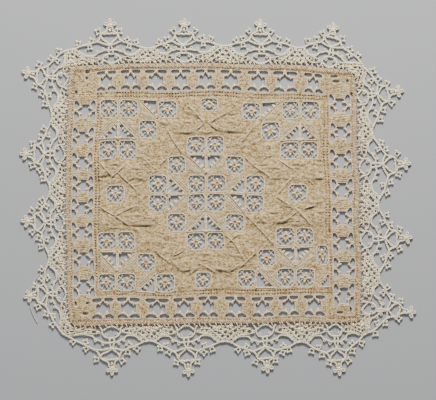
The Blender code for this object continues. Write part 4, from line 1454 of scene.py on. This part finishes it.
edge_u, edge_v = np.array(CLOTHWORK_EDGE).T
half_edge = np.stack([1 - edge_u, edge_v], axis=1)
chart_edge = np.concatenate([half_edge[1:][::-1] * (-1, 1), half_edge]) * CHART_SIZE
w_steps = np.arange(-CHART_WIDE * HALF_PITCH, CHART_WIDE * HALF_PITCH, CLOTHWORK_STEP)
v_steps = np.arange(-CLOTHWORK_STEP, CHART_HIGH * REACH, CLOTHWORK_STEP)
chart = np.stack(np.meshgrid(w_steps, v_steps, indexing="ij"), axis=-1)
chart_shape = chart.shape[:2]
chart = chart.reshape(-1, 2)
parts = {"points": [], "quads": [], "tris": [], "chart": [], "tone": []}
count = 0
for index in range(len(VALLEYS)):
    openings = [hole_loop(side * u, v, wide, high)
                for u, v, wide, high in CLOTHWORK_HOLES for side in ((-1, 1) if u < 1 else (1,))]
    distance, nearest = cut_distance(chart, openings, chart_edge, CLOTHWORK_REACH)
    flat, quads, tris = pierced_cells(chart_shape, chart, distance, nearest, CLOTHWORK_STEP)
    w, v = (flat / CHART_SIZE).T
    rise = CLOTHWORK_TOP + 0.12 * bell(distance - 0.5, 0.7)
    rise = rise + 0.08 * np.sin(0.7 * flat[:, 0] + index) * np.sin(0.8 * flat[:, 1])
    top_points = np.concatenate([valley_place(index, w, v), rise[:, None]], axis=1)
    points, quads, tris = shell(top_points, quads, tris)
    # darker by the hem, and in the corners' valleys
    tan = 0.6 * bell(v, 0.12) + 0.12 + (0.2 if index % 4 == 0 else 0.0)
    parts["points"].append(points)
    parts["quads"].append(quads + count)
    parts["tris"].append(tris + count)
    parts["chart"].append(np.concatenate([flat, flat]))
    parts["tone"].append(np.concatenate([tan, tan]))
    count += len(points)
points, quads, tris, chart_at, tone = (np.concatenate(part) for part in parts.values())
chart_at = np.concatenate([chart_at, np.zeros((len(chart_at), 1))], axis=1)
clothwork = make_piece("clothwork", points, quads, tris, clothwork_material(),
                       {"chart": chart_at, "tone": tone})

# %% [markdown]
# ## Plaits
# Four threads plaited together carry the work from one patch to the next: an arch over the hem, a
# cross of arms through the knot, and an outer plait that climbs the point and draws in to a narrow
# neck below three petals. Each strand could be modelled, but it is finer than anything else here,
# so a plait is one oval thread and its finish shows the strands. The table has one half of a
# point. The other half is its mirror image, and the sway keeps any two from being alike.

# %% Plaits of a point
# Half plaits that cross the middle line, listed from it outwards
CROSSING_PLAITS = [
    [(0.0, 0.012), (0.10, 0.035), (0.215, 0.10)],
    [(0.0, 0.24), (0.10, 0.235), (0.185, 0.205), (0.235, 0.14), (0.24, 0.075), (0.29, 0.02)],
    [(0.0, 0.325), (0.08, 0.33), (0.17, 0.335), (0.26, 0.305), (0.35, 0.285), (0.41, 0.235),
     (0.50, 0.225), (0.61, 0.235), (0.69, 0.27), (0.76, 0.34)],
    [(0.0, 0.675), (0.07, 0.69), (0.13, 0.675), (0.21, 0.70)],
]
# Plaits that each half has of its own
SIDE_PLAITS = [
    [(0.055, 0.25), (0.06, 0.33), (0.02, 0.44)],
    [(0.0, 0.44), (0.155, 0.473), (0.245, 0.508), (0.345, 0.535)],
    [(0.0, 0.45), (0.095, 0.515), (0.175, 0.566), (0.21, 0.62), (0.235, 0.665)],
    [(0.90, 0.365), (0.84, 0.385), (0.77, 0.41), (0.65, 0.455), (0.52, 0.48), (0.40, 0.51),
     (0.30, 0.54), (0.25, 0.595), (0.235, 0.65), (0.18, 0.70), (0.105, 0.725), (0.075, 0.765),
     (0.07, 0.815), (0.02, 0.87)],
    [(0.84, 0.375), (0.92, 0.368), (1.0, 0.363)],
]
# Single thick threads laid over the clothwork, between its rows of openings
OUTLINE_THREADS = [
    [(0.27, 0.14), (0.36, 0.165), (0.47, 0.185), (0.56, 0.20), (0.68, 0.235)],
    [(0.36, 0.095), (0.48, 0.08), (0.60, 0.09), (0.70, 0.155), (0.80, 0.225), (0.90, 0.30),
     (1.0, 0.285)],
    [(0.62, 0.01), (0.72, 0.06), (0.81, 0.115), (0.90, 0.165), (1.0, 0.225)],
]
PLAIT_WIDE = 1.2
PLAIT_STEP = 0.85
PLAIT_TOP = 0.85
PICOT_TOP = PLAIT_TOP - 0.1
# Square picots: a place on the chart and the way they point
SQUARE_PICOTS = [
    (0.65, 0.465, 0.5, 1.0), (0.43, 0.51, 0.25, 1.0), (0.22, 0.69, 0.9, 0.9),
    (0.50, 0.475, -0.1, -1.0),
]
# Round picots: the same, then how far off they stand, their length, width and thread in mm
ROUND_PICOTS = [
    (0.19, 0.335, 0.2, 1.0, 1.05, 1.6, 1.4, 0.85), (0.335, 0.285, 0.1, 1.0, 1.05, 1.6, 1.4, 0.85),
    (0.175, 0.215, -0.8, -0.9, 1.5, 1.7, 1.5, 0.8),
]
# Petals of the tip: their turn in radians and their length in mm
PETALS = [(0.0, 3.2), (1.15, 2.7), (-1.15, 2.7)]
PETAL_OFF = 2.7
print(len(CROSSING_PLAITS) + 2 * len(SIDE_PLAITS), "plaits in a point")

# %% Paths and picots on the chart


def chart_path(index, rows, height):
    """A plait's path: its chart rows carried to their place and smoothed."""
    u, v = np.array(rows).T
    path = smooth_path(point_place(index, u, v), PLAIT_STEP)
    rise = height + 0.1 * np.sin(np.linspace(0, 3 + len(path) / 4, len(path)) + u[0] * 9)
    return np.column_stack([path, rise])


def outwards(index, u, v, way):
    """A place on a point and the flat direction of a short step on the chart from it."""
    here = point_place(index, u, v)
    step = np.array(way) * 0.02 / CHART_SIZE * REACH
    there = point_place(index, u + step[0], v + step[1])
    return here, (there - here) / np.linalg.norm(there - here)


def square_picot(threads, here, way, height, size):
    """A small square loop that stands on a plait, with a bud at each of its free corners."""
    side = np.array([-way[1], way[0]])
    spin = RANDOM.uniform(-0.8, 0.8)
    radius = size * RANDOM.uniform(1.35, 1.7)
    centre = here + way * radius * 1.2
    angle = spin + TAU * np.arange(8) / 8
    reach = radius * np.where(np.arange(8) % 2 == 0, 1.05, 0.78)
    loop = centre + np.outer(np.cos(angle) * reach, way) + np.outer(np.sin(angle) * reach, side)
    threads.lay(at_height(loop, height), 0.95, 0.85, 5, closed=True)
    for k in (-2, 0, 2):
        turn = spin + k * TAU / 8
        if abs(turn) > 2.0:
            continue
        out = way * math.cos(turn) + side * math.sin(turn)
        threads.bud(at_height(centre + out * radius * 1.2, height), out, 1.75, 1.65, 0.95,
                    tone=-0.2, sides=6)


# %% Sixteen points
plaits = Threads()
for index in range(len(TIPS)):
    for rows in CROSSING_PLAITS:
        whole = [(-u, v) for u, v in reversed(rows[1:])] + rows
        path = chart_path(index, whole, PICOT_TOP)
        plaits.lay(path, uneven_width(len(path), PLAIT_WIDE), 0.85, 6)
    for side in (-1, 1):
        for rows in SIDE_PLAITS:
            path = chart_path(index, [(side * u, v) for u, v in rows], PLAIT_TOP - 0.05)
            plaits.lay(path, uneven_width(len(path), PLAIT_WIDE), 0.8)
        for rows in OUTLINE_THREADS:
            path = chart_path(index, [(side * u, v) for u, v in rows], PLAIT_TOP + 0.15)
            plaits.lay(path, uneven_width(len(path), 0.65), 0.6, 5, tone=0.05)
        for u, v, way_u, way_v in SQUARE_PICOTS:
            u, v = u + RANDOM.normal(0, 0.015), v + RANDOM.normal(0, 0.005)
            here, way = outwards(index, side * u, v, (side * way_u, way_v))
            square_picot(plaits, here, way, PICOT_TOP, 1.0 if way_v > 0 else 0.85)
        for u, v, way_u, way_v, off, length, wide, thread in ROUND_PICOTS:
            here, way = outwards(index, side * u, v, (side * way_u, way_v))
            plaits.ring(at_height(here + way * off, PICOT_TOP), way, length, wide, thread,
                        tone=-0.1, count=8)
    leaf_foot, out = outwards(index, 0.0, 0.86, (0.0, 1.0))
    aside = np.array([-out[1], out[0]])
    for turn, length in PETALS:
        turn += RANDOM.normal(0, 0.06)
        way = out * math.cos(turn) + aside * math.sin(turn)
        centre = leaf_foot + way * PETAL_OFF
        plaits.ring(at_height(centre, PICOT_TOP), way, length, 1.7, 1.05)
        plaits.bud(at_height(centre, PLAIT_TOP - 0.25), way, length * 1.1, 1.7, 0.8, tone=0.9)
    neck, knot = point_place(index, 0.0, 0.765), point_place(index, 0.0, 0.445)
    plaits.bud(at_height(leaf_foot, PLAIT_TOP), out, 3.4, 3.0, 1.2, tone=0.3)
    plaits.bud(at_height(neck, PICOT_TOP), out, 2.6, 1.9, 1.0, tone=0.45)
    plaits.bud(at_height(knot, PLAIT_TOP + 0.1), out, 2.4, 1.9, 1.1, tone=0.1)
print("plaits and picots of", len(TIPS), "points:", len(plaits.points), "threads")

# %% [markdown]
# ## Seeds and a loose end
# Short fat stitches fill the clothwork by the hem, and small slanted ones hold the foot to the
# linen. On the left, one thread has come loose and lies free beside a point. Seeds could be bumps
# in the finish, but they are as thick as the plaits and throw shadows. So they are buds strewn by
# chance, and the joining stitches step along the hem at an even pitch.

# %% Seeds
SEEDS_A_VALLEY = 14
for index in range(len(VALLEYS)):
    for _ in range(SEEDS_A_VALLEY):
        w = RANDOM.uniform(-0.3, 0.3)
        v = RANDOM.uniform(0.02, 0.15)
        turn = RANDOM.uniform(0, math.pi)
        place = valley_place(index, w, v)
        plaits.bud(at_height(place, CLOTHWORK_TOP + 0.1), (math.cos(turn), math.sin(turn)),
                   RANDOM.uniform(1.8, 2.7), RANDOM.uniform(1.2, 1.7), 1.1, tone=0.3, sides=6)
print(SEEDS_A_VALLEY * len(VALLEYS), "seeds")

# %% Joining stitches
JOIN_PITCH = 3.4
joins = np.arange(0.5, foot_run[-1], JOIN_PITCH)
for run in joins:
    run += RANDOM.normal(0, 0.5)
    here, there = foot_at(run), foot_at(run + 0.9)
    run_way = (there - here) / np.linalg.norm(there - here)
    inwards = np.array([run_way[1], -run_way[0]])
    start, stop = here - inwards * 1.7, there + inwards * 0.9
    plaits.lay([[*start, 0.9], [*(start + stop) / 2, 1.2], [*stop, 1.55]], 0.7, 0.6, 5, tone=0.3)
print(len(joins), "joining stitches")

# %% A loose thread
LOOSE_THREAD = [
    (-114.2, -46.9), (-119.3, -54.1), (-121.2, -58.4),
    (-122.1, -68.0), (-120.7, -74.7), (-117.4, -81.5),
]
path = smooth_path(LOOSE_THREAD, CORD_STEP)
rise = 0.3 + 0.5 * np.sin(np.linspace(0, math.pi, len(path)))
plaits.lay(np.column_stack([path, rise]), 0.42, 0.4, 6, tone=-0.4)
plait_piece = plaits.piece("lace_plaits", lace_thread)

# %% [markdown]
# ## What stands for which solid
# The imported model has two solids, the linen and the edging, and neither is left showing. Each piece
# rides on the one body and stands for one of them.

# %% Frame
for piece in (cloth, cord_piece, star_piece, rib_piece):
    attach(piece, "root")
    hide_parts("linen")
for piece in (clothwork, plait_piece):
    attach(piece, "root")
    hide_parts("edging")

# %% [markdown]
# ## Camera, light and floor
# The lace lies flat and is seen from straight above. Even light from all round would be simplest,
# but it would hide every stitch. So a lamp stands low beyond the top edge, as raking light brings
# out relief, and a weak one fills the shadows. A plain grey floor, a little cooler than the
# thread, shows through every gap.

# %% Camera
CAMERA_PLACE = (-0.0002, -0.00146, 1.574)
camera_data = bpy.data.cameras.new("camera")
camera_data.lens, camera_data.sensor_width = 200.0, 36.0
camera_data.clip_end = 10.0
camera = bpy.data.objects.new("camera", camera_data)
camera.location = CAMERA_PLACE
bpy.context.scene.collection.objects.link(camera)
bpy.context.scene.camera = camera
print("camera", CAMERA_PLACE[2], "m above the lace")

# %% Lamps
SKY_COLOUR = (0.94, 0.96, 1.0, 1.0)
SKY_STRENGTH = 0.25


def lamp(name, place, size, power, colour=(1.0, 1.0, 1.0)):
    """A square area lamp that looks at the middle of the lace."""
    data = bpy.data.lights.new(name, "AREA")
    data.size, data.energy, data.color = size, power, colour
    stand = bpy.data.objects.new(name, data)
    stand.location = place
    stand.rotation_euler = (-Vector(place)).to_track_quat("-Z", "Y").to_euler()
    bpy.context.scene.collection.objects.link(stand)


lamp("key", (0.12, 1.1, 0.66), 0.3, 47.0, (1.0, 0.97, 0.92))
lamp("fill", (-0.8, -0.5, 1.0), 0.9, 4.0)

world = bpy.data.worlds.new("studio")
world.use_nodes = True
sky = world.node_tree.nodes["Background"]
sky.inputs["Color"].default_value = SKY_COLOUR
sky.inputs["Strength"].default_value = SKY_STRENGTH
bpy.context.scene.world = world
print(len(bpy.data.lights), "lamps")

# %% Floor
FLOOR_HALF = 1.2
FLOOR_DROP = 0.0001
floor_corners = [(x * FLOOR_HALF, y * FLOOR_HALF, 0) for x, y in ((-1, -1), (1, -1), (1, 1), (-1, 1))]
floor_mesh = bpy.data.meshes.new("floor")
floor_mesh.from_pydata(floor_corners, [], [(0, 1, 2, 3)])
floor = bpy.data.objects.new("floor", floor_mesh)
floor.location = (0, 0, -FLOOR_DROP)
floor_shader = Shader("floor")
floor_shader.surface.inputs["Base Color"].default_value = (*tint(152, 154, 158), 1.0)
floor_shader.surface.inputs["Roughness"].default_value = 0.95
floor_mesh.materials.append(floor_shader.material)
bpy.context.scene.collection.objects.link(floor)
print("floor", 2 * FLOOR_HALF, "m wide")
